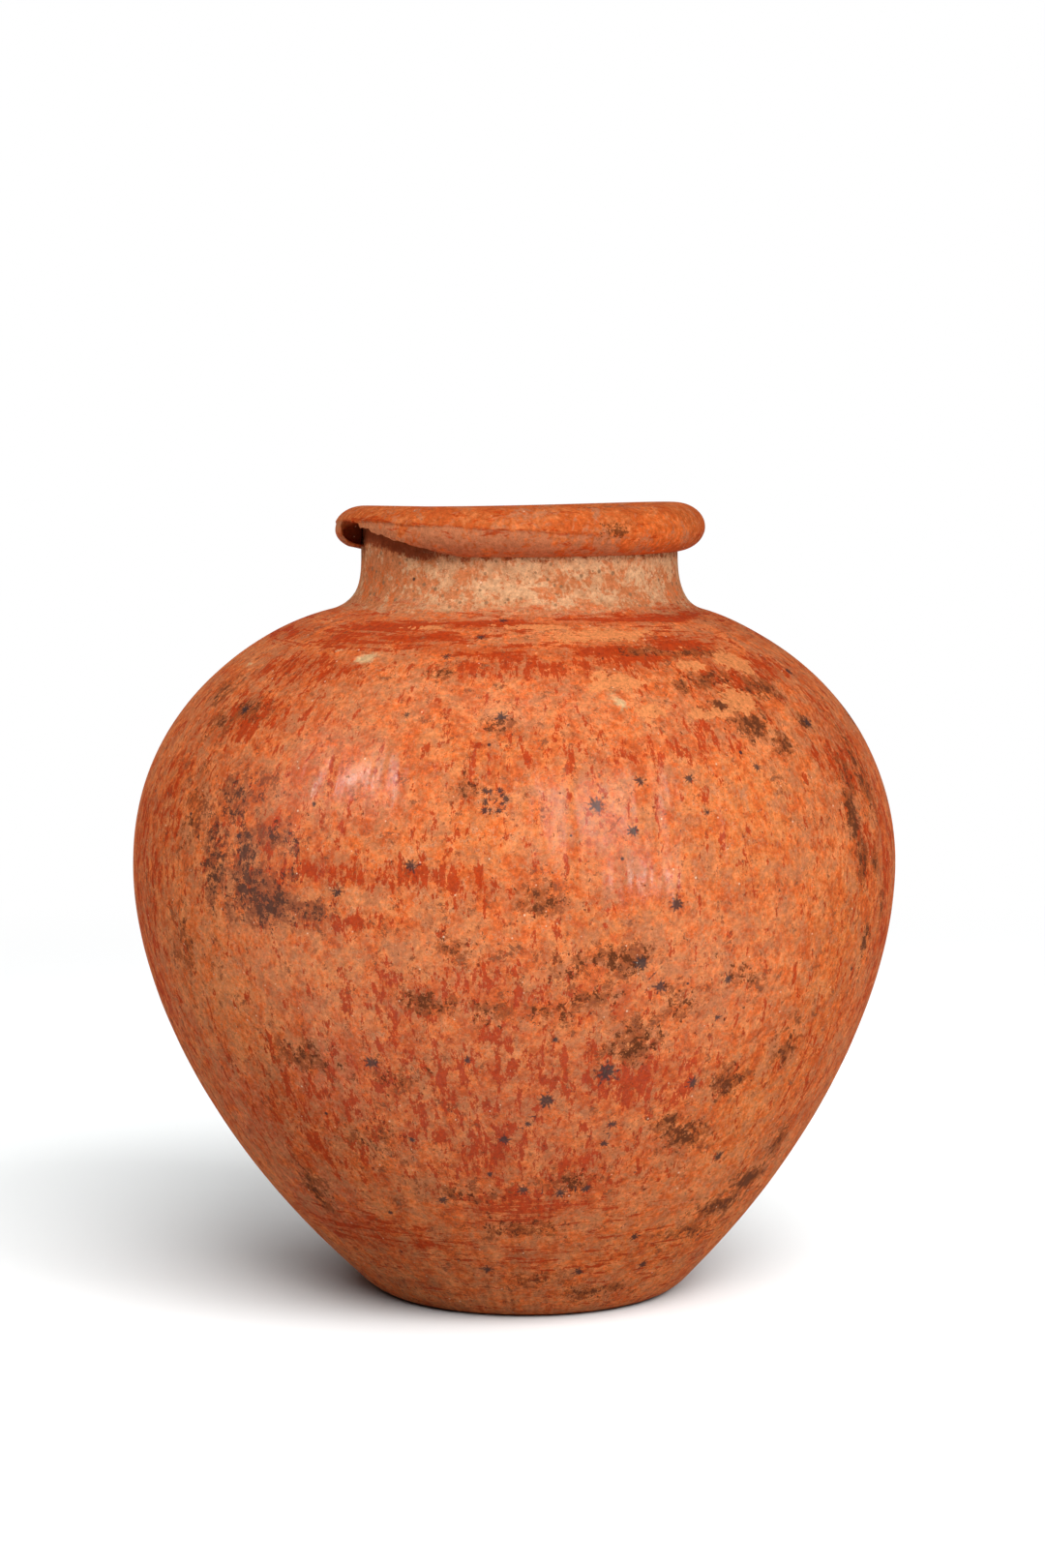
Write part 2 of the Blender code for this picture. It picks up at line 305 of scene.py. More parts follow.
EARTH_STAINS = (
    (30, 230, 6, 2.8, 1.1),
    # This one lays a dark brown band along the top of the rim at the right
    (34, 237.5, 17, 1.7, 0.9),
    (43, 175, 8, 5, 1.0),
    (39, 180, 8, 5, 0.8),
    (48, 169, 6, 4, 0.75),
    (40, 187, 13, 4, 0.75),
    (52, 184, 10, 5, 0.8),
    (29, 195, 10, 2.6, 0.85),
    (41, 194, 10, 3, 0.75),
    (57, 174, 3, 3, 1.0),
    (60, 148, 5, 9, 1.0),
    (61, 135, 4, 8, 0.9),
    (66, 133, 2.5, 6, 0.85),
    (64, 111, 2.5, 7, 0.95),
    (70, 120, 4, 8, 0.7),
    (68, 160, 6, 18, 0.7),
    (62, 158, 7, 13, 0.6),
    (33, 186, 5, 3, 0.8),
    (54, 41, 9, 5, 1.15),
    (50, 34, 12, 4, 1.0),
    (45, 27, 12, 4, 0.7),
    (58, 52, 5, 8, 0.8),
    (30, 61, 9, 6, 0.9),
    (26, 66, 6, 4, 0.75),
    (36, 76, 8, 6, 0.8),
    (47, 84, 5, 8, 0.7),
    (18, 90, 8, 9, 0.85),
    (15, 114, 12, 5, 0.8),
    (8, 113, 8, 4, 0.7),
    (11, 104, 9, 5, 0.6),
    (5, 100, 8, 4, 0.6),
    (24, 101, 9, 6, 0.6),
    (34, 107, 8, 6, 0.6),
    (-46, 40, 5, 10, 0.85),
    (-34, 84, 12, 6, 0.65),
    (-12, 102, 9, 4, 0.75),
    (-8, 118, 10, 4, 0.55),
    (-3, 100, 10, 4, 0.6),
    (4, 131, 8, 5, 0.7),
    (-7, 161, 4, 4, 0.7),
    (-2, 177, 6, 4, 0.7),
    (-14, 190, 6, 3, 0.7),
    (22, 9, 12, 4, 0.8),
    (4, 14, 12, 4, 0.6),
    (0, 33, 16, 5, 0.6),
    (-10, 44, 14, 4, 0.55),
    (10, 48, 8, 4, 0.75),
    (-18, 80, 10, 6, 0.5),
    (-52, 178, 9, 5, 0.7),
    (-58, 174, 8, 6, 0.6),
    (-66, 182, 8, 8, 0.6),
    (-25, 60, 14, 8, 0.5),
    (-55, 150, 6, 14, 0.55),
    (-56, 112, 8, 12, 0.5),
    (100, 150, 18, 12, 0.7),
    (120, 60, 20, 14, 0.7),
    (-120, 170, 16, 10, 0.6),
    (-100, 70, 10, 16, 0.6),
    (175, 40, 24, 10, 0.7),
    (-160, 150, 10, 18, 0.6),
    (85, 172, 8, 6, 0.8),
    (112, 100, 10, 6, 0.7),
    (136, 142, 8, 5, 0.7),
    (155, 88, 10, 6, 0.7),
    (-176, 172, 9, 5, 0.7),
    (-145, 112, 10, 6, 0.7),
    (-115, 142, 8, 6, 0.7),
    (-90, 162, 6, 8, 0.6),
    (-85, 92, 9, 6, 0.6),
    (140, 24, 14, 5, 0.7),
    (-150, 34, 14, 5, 0.7),
)
RED_STROKES = (
    (-35, 201, 20, 6, 1.3),
    (-21, 198.5, 18, 5, 1.2),
    (-42, 197.5, 16, 6, 1.1),
    (-8, 202, 20, 4, 1.2),
    (-10, 191.5, 13, 5, 1.0),
    (-2, 195, 18, 5, 1.1),
    (6, 191.5, 14, 5, 1.0),
    (10, 205, 26, 3, 1.0),
    (20, 195, 22, 4, 1.1),
    (27, 193, 14, 4, 1.0),
    (40, 196.5, 18, 6, 1.2),
    (44, 203, 24, 5, 1.2),
    (45, 186, 14, 9, 0.9),
    (59, 188.5, 12, 8, 1.0),
    (31, 173, 14, 7, 0.6),
    (62, 204, 20, 5, 1.0),
    (-46, 190, 22, 9, 0.85),
    (-50, 176, 18, 10, 0.8),
    (-40, 198, 22, 6, 0.8),
    (-64, 150, 12, 32, 0.6),
    (-38, 150, 18, 16, 0.45),
    (-28, 137.5, 16, 3.5, 1.0),
    (-13, 137, 16, 5, 0.8),
    (-4, 134, 7, 6, 0.7),
    (-24, 124, 12, 3, 0.8),
    (-15, 101, 14, 6, 0.7),
    (-5, 108, 14, 7, 0.6),
    (4, 106, 14, 6, 0.5),
    (-37, 64, 14, 7, 0.6),
    (20, 79, 24, 11, 0.8),
    (5, 84, 14, 10, 0.6),
    (-5, 58, 13, 8, 0.9),
    (0, 40, 24, 9, 0.7),
    (-12, 78, 45, 26, 0.55),
    (-36, 62, 30, 24, 0.55),
    (4, 50, 44, 18, 0.5),
    (-72, 120, 16, 50, 0.55),
    (73, 130, 14, 54, 0.6),
    (67, 166, 12, 20, 0.75),
    (58, 80, 16, 34, 0.35),
    (14, 55, 16, 8, 0.6),
    (-34, 27, 30, 9, 0.7),
    (10, 22, 40, 8, 0.4),
    (62, 160, 10, 12, 0.8),
    (63, 135, 9, 12, 0.8),
    (50, 190, 14, 8, 0.6),
    (10, 170, 26, 8, 0.4),
    (-4, 168, 14, 8, 0.5),
    (-62, 213, 22, 12, 1.4),
    (-60, 222, 5, 3, 1.0),
    (-40, 212, 8, 5, 0.6),
    (-18, 215, 8, 4, 0.7),
    (12, 210, 8, 5, 0.6),
    (38, 212, 7, 5, 0.7),
    (67, 208.5, 8, 4.5, 1.6),
    (110, 200, 30, 8, 0.9),
    (180, 200, 34, 8, 0.9),
    (-110, 200, 30, 8, 0.9),
    (140, 90, 40, 24, 0.6),
    (-150, 60, 40, 20, 0.6),
    (95, 196, 20, 6, 1.0),
    (130, 203, 24, 5, 1.0),
    (160, 192, 18, 6, 0.9),
    (-75, 198, 20, 6, 1.0),
    (-140, 203, 24, 5, 1.0),
    (-165, 192, 18, 5, 0.9),
    (95, 140, 16, 4, 0.9),
    (120, 112, 14, 8, 0.7),
    (170, 132, 20, 5, 0.8),
    (-95, 131, 18, 4, 0.9),
    (-120, 104, 14, 8, 0.7),
    (-165, 95, 18, 8, 0.7),
    (-90, 58, 20, 12, 0.6),
    (100, 50, 24, 10, 0.6),
    (150, 30, 36, 8, 0.5),
    (-120, 30, 30, 8, 0.5),
    (120, 75, 45, 26, 0.4),
    (-130, 75, 45, 26, 0.4),
    (180, 60, 40, 22, 0.4),
)
WORN_PATCHES = (
    (-30, 201, 26, 7, 0.7),
    (-4, 199, 22, 6, 0.7),
    (30, 200, 26, 6, 0.6),
    (-21, 187, 13, 6, 0.9),
    (-14, 190, 10, 5, 0.6),
    (12, 187, 14, 6, 0.4),
    (-10, 131, 12, 6, 0.9),
    (-24, 129, 14, 7, 0.8),
    (-16, 143, 18, 5, 0.7),
    (-3, 148, 20, 6, 0.6),
    (-10, 116, 14, 8, 0.8),
    (-30, 112, 22, 14, 0.7),
    (-48, 108, 20, 26, 0.7),
    (-22, 95, 22, 12, 0.7),
    (-4, 86, 14, 8, 0.8),
    (0, 120, 16, 8, 0.5),
    (-22, 57, 14, 9, 0.7),
    (-10, 70, 16, 9, 0.5),
    (8, 68, 10, 6, 0.6),
    (28, 118, 16, 10, 0.4),
    (38, 45, 18, 10, 0.4),
    (30, 155, 16, 8, 0.4),
    (26, 176, 10, 8, 0.5),
    (130, 150, 40, 24, 0.6),
    (-130, 120, 40, 30, 0.7),
    (170, 80, 40, 20, 0.6),
)
YELLOW_PATCHES = (
    (36, 148, 32, 28, 1.0),
    (5, 150, 26, 16, 0.7),
    (56, 100, 22, 40, 1.0),
    (18, 124, 22, 16, 0.7),
    (40, 66, 22, 24, 0.7),
    (-5, 172, 22, 10, 0.6),
    (-62, 165, 10, 24, 0.5),
    (40, 22, 30, 12, 1.0),
    (50, 229, 13, 7, 1.3),
    (95, 120, 24, 40, 0.7),
    (-100, 140, 30, 40, 0.6),
)
PINK_PATCHES = (
    (-66, 100, 22, 34, 0.9),
    (-58, 66, 24, 26, 1.0),
    (-18, 116, 24, 16, 0.5),
    (-34, 82, 28, 26, 0.9),
    (-8, 74, 28, 20, 0.7),
    (-50, 36, 22, 16, 0.9),
    (-30, 172, 22, 10, 0.7),
    (-26, 158, 22, 9, 0.8),
    (-40, 112, 20, 16, 0.5),
    (17, 137, 16, 10, 0.7),
    (-150, 150, 40, 26, 0.8),
    (140, 60, 40, 26, 0.8),
)
FLAKES = (
    (4, 201.5, 11, 2.4, 1.0),
    (23, 199, 16, 4.2, 1.0),
    (18.5, 188, 9, 4.5, 1.0),
    (39, 191, 6, 3.6, 1.0),
    (50.5, 191, 6.5, 5.5, 1.0),
    (43, 181.5, 5.5, 6, 1.0),
    (34.5, 178.5, 8, 2.6, 0.9),
    (24, 179.5, 6, 3, 0.9),
    (-22, 201, 9, 1.6, 0.8),
    (-155, 185, 16, 6, 0.9),
    (105, 180, 12, 8, 0.9),
)
LIME_SPOTS = (
    (18.5, 182.5, 3.6, 3.0, 0.95),
    (-32.5, 193, 6.0, 3.2, 0.95),
    (-41, 194.5, 1.7, 1.1, 1.3),
    (-66.5, 189, 2.6, 1.0, 1.2),
    (125, 160, 3, 3, 1.0),
    (-95, 110, 3, 2, 1.0),
)

MARKS = {
    "fire_cloud": FIRE_CLOUD,
    "earth_stain": EARTH_STAINS,
    "red_stroke": RED_STROKES,
    "worn": WORN_PATCHES,
    "yellow": YELLOW_PATCHES,
    "pink": PINK_PATCHES,
    "flake": FLAKES,
    "lime": LIME_SPOTS,
}

# Patterns of the clay and slip: the size of their blotches round the jar and up its wall in millimetres,
# their octaves, roughness and distortion. The finest are drawn coarser than real grit, so that they show
GRAINS = {
    "broad": (38.0, 38.0, 3.0, 0.5, 0.0),
    "patch": (15.0, 15.0, 5.0, 0.6, 0.3),
    "slip": (8.0, 8.0, 3.6, 0.95, 0.3),
    "grey": (7.0, 7.0, 3.2, 0.92, 0.3),
    "wear": (5.0, 5.0, 5.0, 0.85, 0.2),
    "crumb": (2.4, 2.4, 4.0, 0.90, 0.0),
    "upright": (2.8, 8.0, 4.5, 0.80, 0.2),
    "girth": (20.0, 2.2, 4.0, 0.80, 0.5),
    "sweep": (26.0, 3.4, 4.5, 0.70, 0.4),
    "dash": (1.8, 2.6, 3.0, 0.85, 0.0),
    "burnish": (8.0, 40.0, 2.0, 0.5, 0.0),
    "fine": (1.5, 1.5, 3.0, 0.90, 0.0),
}

# Manganese spots, placed as the marks are: bearing in degrees, height and radius in millimetres
MANGANESE_SPOTS = (
    (12, 156, 2.7),
    (23, 129, 2.5),
    (18, 113, 2.5),
    (21, 106, 2.3),
    (14, 82, 3.6),
    (29, 77, 2.1),
    (5, 74, 2.6),
    (-14, 140, 2.1),
    (-25, 132, 1.8),
    (-22, 84, 2.5),
    (58, 174, 2.4),
    (68, 187, 2.2),
    (17, 149, 1.8),
    (19, 162, 1.7),
    (27, 162, 1.7),
    (40, 164, 1.5),
    (29, 153, 1.2),
    (-2, 179, 1.9),
    (-4, 203, 1.8),
    (-1, 158, 1.3),
    (-2, 160, 1.2),
    (-4, 160, 1.3),
    (-4, 157, 1.2),
    (-4, 155, 1.4),
    (-2, 155, 1.1),
    (-43, 145, 1.3),
    (-30, 155, 0.9),
    (-53, 178, 1.9),
    (-18, 179, 1.1),
    (-14, 194, 1.5),
    (-8, 199, 1.6),
    (-7, 86, 1.2),
    (-18, 61, 1.0),
    (-2, 62, 1.9),
    (2, 67, 1.0),
    (16, 66, 1.6),
    (15, 60, 1.3),
    (1, 46, 1.9),
    (8, 45, 2.1),
    (13, 46, 1.8),
    (-5, 51, 1.2),
    (-15, 42, 1.9),
    (-9, 18, 1.9),
    (15, 17, 2.0),
    (34, 17, 1.8),
    (27, 28, 1.7),
    (40, 52, 2.0),
    (-28, 36, 1.1),
    (6, 92, 1.1),
    (31, 96, 1.2),
    (32, 107, 1.5),
    (120, 130, 2.6),
    (150, 170, 2.2),
    (-170, 110, 2.6),
    (-135, 150, 2.4),
    (-105, 95, 2.2),
    (-80, 120, 1.6),
    (90, 80, 2.4),
    (82, 148, 1.6),
    (97, 176, 1.4),
    (104, 118, 2.0),
    (113, 72, 1.8),
    (127, 98, 1.5),
    (133, 182, 1.7),
    (141, 58, 2.1),
    (158, 140, 1.3),
    (166, 76, 2.2),
    (179, 158, 1.8),
    (-158, 64, 1.9),
    (-149, 128, 2.3),
    (-127, 86, 1.5),
    (-118, 176, 2.0),
    (-112, 126, 1.4),
    (-97, 152, 1.7),
    (-88, 66, 2.2),
    (-74, 84, 1.5),
)

# Line where the rim's folded edge was smoothed down, placed as the marks are: bearing in degrees,
# height in millimetres, and strength
FOLD_LINE = (
    (-180, 227.5, 0.4),
    (-120, 228.6, 0.5),
    (-70, 230.2, 0.9),
    (-49, 229.9, 1.0),
    (-20, 228.9, 1.0),
    (0, 228.1, 1.0),
    (33, 226.1, 0.7),
    (48, 225.2, 0.1),
    (70, 225.0, 0.0),
    (120, 226.3, 0.2),
    (180, 227.5, 0.4),
)


def station(radius, height):
    """A point of the section, which lies in the XZ plane."""
    return Vector((radius, 0, height))


def smooth_step(low, high, value):
    """0 below low, 1 above high, with an even ease between them."""
    share = np.clip((value - low) / (high - low), 0, 1)
    return share * share * (3 - 2 * share)


def spread(first, last, longest):
    """Evenly spaced values from first to last, no further apart than longest."""
    count = max(1, math.ceil(abs(last - first) / longest))
    return [first + (last - first) * i / count for i in range(count + 1)]


class Outline:
    """The jar's outer profile as a fine line, measured by the distance along it from the foot."""

    def __init__(self, shape):
        base_edge = station(shape.base_radius, 0)
        heel = station(shape.heel_radius, shape.heel_height)
        belly = station(shape.belly_radius, shape.belly_height)
        self.root_height = shape.belly_height + shape.shoulder_rise
        self.waist_height = self.root_height + shape.neck_rise
        root = station(shape.root_radius, self.root_height)
        waist = station(shape.neck_radius, self.waist_height)
        climb = station(math.cos(shape.heel_slope), math.sin(shape.heel_slope))
        close = station(-math.cos(shape.root_slope), math.sin(shape.root_slope))
        self.rim_centre = station(
            shape.neck_radius - shape.rim_inset, self.waist_height + shape.rim_half_height
        )
        crown = self.rim_centre.z + shape.rim_half_height
        self.neck_top = crown - shape.flap_thickness - shape.ridge / 4
        curves = (
            (base_edge, base_edge + OUTWARDS * shape.heel_round, heel - climb * shape.heel_round, heel),
            (heel, heel + climb * shape.lower_wall_pull, belly - UPWARDS * shape.belly_pull_down, belly),
            (belly, belly + UPWARDS * shape.belly_pull_up, root - close * shape.shoulder_pull, root),
            (root, root + close * shape.neck_root_pull, waist - UPWARDS * shape.waist_pull, waist),
        )
        points = []
        for curve in curves:
            points += interpolate_bezier(*curve, CURVE_STEPS)[:-1]
        points += [waist, station(shape.neck_radius, self.neck_top + 4 * shape.ridge)]
        self.points = points
        self.radii = np.array([point.x for point in points])
        self.heights = np.array([point.z for point in points])
        steps = np.hypot(np.diff(self.radii), np.diff(self.heights))
        self.lengths = np.concatenate(([0], np.cumsum(steps)))
        self.reach = shape.wall / 8

    def at(self, distance):
        """The point of the outer face at a distance up the wall."""
        radius = np.interp(distance, self.lengths, self.radii)
        return station(radius, np.interp(distance, self.lengths, self.heights))

    def inside(self, distance, depth):
        """The point this deep in the clay, straight in from the outer face."""
        along = self.at(distance + self.reach) - self.at(distance - self.reach)
        inwards = Vector((-along.z, 0, along.x)).normalized()
        return self.at(distance) + inwards * depth

    def distance_at(self, height):
        """The distance up the wall at which the outer face has this height."""
        return float(np.interp(height, self.heights, self.lengths))


def add(tree, kind, sockets=None, **settings):
    """Adds a node, sets its fields, and fills its inputs with values or links."""
    node = tree.nodes.new(kind)
    for field, value in settings.items():
        setattr(node, field, value)
    for socket, value in (sockets or {}).items():
        if isinstance(value, bpy.types.NodeSocket):
            tree.links.new(value, node.inputs[socket])
        else:
            node.inputs[socket].default_value = value
    return node


def turning_tree():
    """Geometry Nodes that turn a section about the Z axis and leave it as uneven as hands do."""
    tree = bpy.data.node_groups.new("turned_clay", "GeometryNodeTree")
    for name, kind in (
        ("Section", "NodeSocketGeometry"),
        ("Facets", "NodeSocketInt"),
        ("Rows", "NodeSocketInt"),
        ("Stations", "NodeSocketInt"),
        ("Lump Height", "NodeSocketFloat"),
        ("Lump Size", "NodeSocketFloat"),
        ("Clay", "NodeSocketMaterial"),
    ):
        tree.interface.new_socket(name=name, in_out="INPUT", socket_type=kind)
    tree.interface.new_socket(name="Piece", in_out="OUTPUT", socket_type="NodeSocketGeometry")
    given = add(tree, "NodeGroupInput").outputs
    index = add(tree, "GeometryNodeInputIndex").outputs[0]
    columns = add(tree, "ShaderNodeMath", {0: given["Facets"], 1: 1.0}, operation="ADD").outputs[0]
    grid = add(tree, "GeometryNodeMeshGrid", {"Vertices X": columns, "Vertices Y": given["Rows"]})
    column = add(
        tree, "FunctionNodeIntegerMath", {0: index, 1: given["Rows"]}, operation="DIVIDE_FLOOR"
    ).outputs[0]
    row = add(
        tree, "FunctionNodeIntegerMath", {0: index, 1: given["Rows"]}, operation="MODULO"
    ).outputs[0]
    place = add(
        tree, "FunctionNodeIntegerMath", {0: row, 1: given["Stations"]}, operation="MODULO"
    ).outputs[0]
    share = add(tree, "ShaderNodeMath", {0: column, 1: given["Facets"]}, operation="DIVIDE").outputs[0]
    angle = add(tree, "ShaderNodeMath", {0: share, 1: 2 * math.pi}, operation="MULTIPLY").outputs[0]
    position = add(tree, "GeometryNodeInputPosition").outputs[0]
    point = add(
        tree,
        "GeometryNodeSampleIndex",
        {"Geometry": given["Section"], "Value": position, "Index": place},
        data_type="FLOAT_VECTOR",
    ).outputs[0]
    turned = add(
        tree, "ShaderNodeVectorRotate", {"Vector": point, "Angle": angle}, rotation_type="Z_AXIS"
    ).outputs[0]
    spacing = add(tree, "ShaderNodeMath", {0: 1.0, 1: given["Lump Size"]}, operation="DIVIDE").outputs[0]
    lumps = add(
        tree, "ShaderNodeTexNoise", {"Vector": turned, "Scale": spacing, "Detail": 2.0}
    ).outputs["Fac"]
    swell = add(tree, "ShaderNodeMath", {0: lumps, 1: 0.5}, operation="SUBTRACT").outputs[0]
    height = add(
        tree, "ShaderNodeMath", {0: swell, 1: given["Lump Height"]}, operation="MULTIPLY"
    ).outputs[0]
    level = add(
        tree, "ShaderNodeVectorMath", {0: turned, 1: (1.0, 1.0, 0.0)}, operation="MULTIPLY"
    ).outputs[0]
    out = add(tree, "ShaderNodeVectorMath", {0: level}, operation="NORMALIZE").outputs[0]
    push = add(tree, "ShaderNodeVectorMath", {0: out, "Scale": height}, operation="SCALE").outputs[0]
    piece = add(
        tree,
        "GeometryNodeSetPosition",
        {"Geometry": grid.outputs[0], "Position": turned, "Offset": push},
    ).outputs[0]
    for label in CARRIED:
        kept = add(
            tree, "GeometryNodeInputNamedAttribute", {"Name": label}, data_type="FLOAT"
        ).outputs[0]
        carried = add(
            tree,
            "GeometryNodeSampleIndex",
            {"Geometry": given["Section"], "Value": kept, "Index": place},
            data_type="FLOAT",
        ).outputs[0]
        piece = add(
            tree,
            "GeometryNodeStoreNamedAttribute",
            {"Geometry": piece, "Name": label, "Value": carried},
            data_type="FLOAT",
            domain="POINT",
        ).outputs[0]
    closed = add(
        tree, "GeometryNodeMergeByDistance", {"Geometry": piece, "Distance": WELD}
    ).outputs[0]
    real = add(tree, "GeometryNodeRealizeInstances", {"Geometry": closed}).outputs[0]
    clad = add(tree, "GeometryNodeSetMaterial", {"Geometry": real, "Material": given["Clay"]}).outputs[0]
    add(tree, "NodeGroupOutput", {0: clad})
    return tree


def outer_rows(lower, upper):
    """Distances up the outer face, with a thin row at each end for level shading over a seam."""
    return [lower] + spread(lower + SEAM_ROW, upper - SEAM_ROW, OUTER_STEP) + [upper]


def ring_rows(shape, outline, lower, upper):
    """Section of a ring: up the outer face, over the ridge, down the inner face, under the saddle."""
    gap = shape.lute_gap / 2
    outer = [Row(outline.at(distance), distance) for distance in outer_rows(lower, upper)]
    ridge = Row(outline.inside(upper + shape.ridge - gap, shape.wall / 2), upper, 0.5)
    inner = [
        Row(outline.inside(distance, shape.wall), distance, 1.0)
        for distance in spread(upper, lower, INNER_STEP)
    ]
    saddle = Row(outline.inside(lower + shape.ridge + gap, shape.wall / 2), lower, 0.5)
    return outer + [ridge] + inner + [saddle]


def pat_rows(shape, outline, seam):
    """Section of the base: over the standing face, up the heel, over the ridge, across the floor."""
    face = [Row(station(radius, 0), 0.0) for radius in spread(0, shape.base_radius, FLAT_STEP)[:-1]]
    heel = [Row(outline.at(distance), distance) for distance in spread(0, seam, HEEL_STEP)]
    gap = shape.lute_gap / 2
    ridge = Row(outline.inside(seam + shape.ridge - gap, shape.wall / 2), seam, 0.5)
    inner_edge = outline.inside(seam, shape.wall)
    edge = Row(inner_edge, seam, 1.0)
    floor = [
        Row(station(radius, shape.floor_thickness), seam, 1.0)
        for radius in spread(inner_edge.x - shape.floor_round, 0, FLAT_STEP)
    ]
    return face + heel + [ridge, edge] + floor


def ellipse_arc(centre, across, up, first, last, steps):
    """Points on an ellipse between two angles above the horizontal."""
    angles = [first + (last - first) * i / steps for i in range(steps + 1)]
    return [centre + station(across * math.cos(angle), up * math.sin(angle)) for angle in angles]


def rim_rows(shape, outline, seam):
    """Section of the fold: up its outer face, down the lip, over the seat, round the hollow."""
    centre = outline.rim_centre
    gap = shape.lute_gap
    edge_share = (shape.rim_inset + gap + shape.flap_thickness / 4) / shape.rim_reach
    outer = ellipse_arc(
        centre, shape.rim_reach, shape.rim_half_height, -math.acos(edge_share), math.pi / 2, RIM_STEPS
    )
    seat = [
        outline.inside(seam, shape.wall),
        outline.inside(seam + shape.ridge + gap, shape.wall / 2),
        outline.inside(seam + gap, 0),
    ]
    lip_centre = station(centre.x, centre.z + shape.rim_half_height - shape.rim_lip)
    lip = ellipse_arc(lip_centre, seat[0].x - centre.x, shape.rim_lip, math.pi / 2, 0, LIP_STEPS)[1:]
    hollow_reach = shape.rim_reach - shape.fold_skin
    hollow_drop = shape.rim_half_height - shape.fold_skin * EDGE_SKIN
    hollow_angle = math.acos((shape.rim_inset + gap) / hollow_reach)
    above, below = HOLLOW_STEPS
    hollow = ellipse_arc(centre, hollow_reach, shape.hollow_up, hollow_angle, 0, above)
    hollow += ellipse_arc(centre, hollow_reach, hollow_drop, 0, -hollow_angle, below)[1:]
    hollow.append(station(shape.neck_radius + gap, outer[0].z + gap))
    hinge = centre.z + shape.rim_half_height - shape.flap_thickness
    marked = [
        Row(point, seam + point.z - centre.z, 0.0, fold)
        for point, fold in zip(outer, down_the_flap(outer[::-1], hinge)[::-1])
    ]
    marked += [Row(point, seam + point.z - centre.z) for point in lip]
    hidden = [Row(point, seam, 1.0) for point in seat]
    hidden += [Row(point, seam, 1.0, fold) for point, fold in zip(hollow, down_the_flap(hollow, hinge))]
    return marked + hidden


def down_the_flap(skin, hinge):
    """Share of the way from the hinge to the hanging edge, down a skin of the fold."""
    heights = np.array([point.z for point in skin])
    steps = [0.0] + [(skin[i + 1] - skin[i]).length for i in range(len(skin) - 1)]
    lengths = np.cumsum(steps)
    start = np.interp(-hinge, -heights, lengths)
    return list(np.clip((lengths - start) / (lengths[-1] - start), 0, 1))


def hanging_edge(shape, outline, angle):
    """Height of the fold's edge: broken off sharply on one side, slanting back down on the other."""
    slant = np.clip((shape.loss_to - angle) / shape.loss_slant, 0, 1)
    back = shape.loss_from - angle
    chipped = CHIP_SHARE * smooth_step(*CHIP_SPAN, back)
    lost = np.where(angle > shape.loss_from + HAIR, slant, chipped)
    ragged = 1
    for share, waves, start in EDGE_WAVES:
        ragged = ragged + share * np.sin(angle * waves + start)
    return outline.waist_height + lost * ragged * shape.loss_height


def break_fold(shape, outline, rows, places, inside, fold):
    """Breaks off the hanging flap, drawing both of its skins back up the fold to the broken edge, and
    presses the flap to the neck on either side of the break."""
    angle = np.arctan2(places[:, 1], places[:, 0]) % (2 * math.pi)
    edge = hanging_edge(shape, outline, angle)
    ends = smooth_step(shape.loss_from - OPEN_SPAN[0], shape.loss_from - OPEN_SPAN[1], angle)
    ends *= 1 - smooth_step(shape.loss_to, shape.loss_to + CLOSE_SPAN, angle)
    curled = smooth_step(*CURL_SPAN, shape.loss_from - angle)
    curled *= angle < shape.loss_from + HAIR
    for side in (0, 1):
        flap = [row for row in rows if row.inside == side and row.fold]
        shares, radii, heights = np.array(sorted((row.fold, row.point.x, row.point.z) for row in flap)).T
        here = (inside == side) & (fold > 0)
        kept = np.interp(-edge, -heights, shares) * fold
        radius = np.hypot(places[:, 0], places[:, 1])
        moved = np.interp(kept, shares, radii)
        if side:
            pressed = shape.neck_radius + shape.lute_gap
            moved = pressed + (moved - pressed) * ends
        grown = 1 + (moved - np.interp(fold, shares, radii)) / radius
        places[:, 0] = np.where(here, places[:, 0] * grown, places[:, 0])
        places[:, 1] = np.where(here, places[:, 1] * grown, places[:, 1])
        sunk = np.interp(kept, shares, heights) - np.interp(fold, shares, heights)
        places[:, 2] = np.where(here, places[:, 2] + sunk, places[:, 2])
        hung = np.clip(outline.rim_centre.z - places[:, 2], 0, None)
        places[:, 2] = np.where(here, places[:, 2] + CURL_SHARE * curled * hung, places[:, 2])


def tear_end(shape, places, fold):
    """Moves the sharp end of the break in and out, so that the flap ends in a torn edge."""
    angle = np.arctan2(places[:, 1], places[:, 0]) % (2 * math.pi)
    height = places[:, 2]
    torn = BITE_REACH * (1 + np.sin(height * BITE_PACE + 0.5)) + TOOTH_REACH * np.sin(height * TOOTH_PACE)
    torn = np.where((fold > 0) & (np.abs(angle - shape.loss_from) < HAIR), torn, 0)
    across = places[:, 0] * np.cos(torn) - places[:, 1] * np.sin(torn)
    places[:, 1] = places[:, 0] * np.sin(torn) + places[:, 1] * np.cos(torn)
    places[:, 0] = across


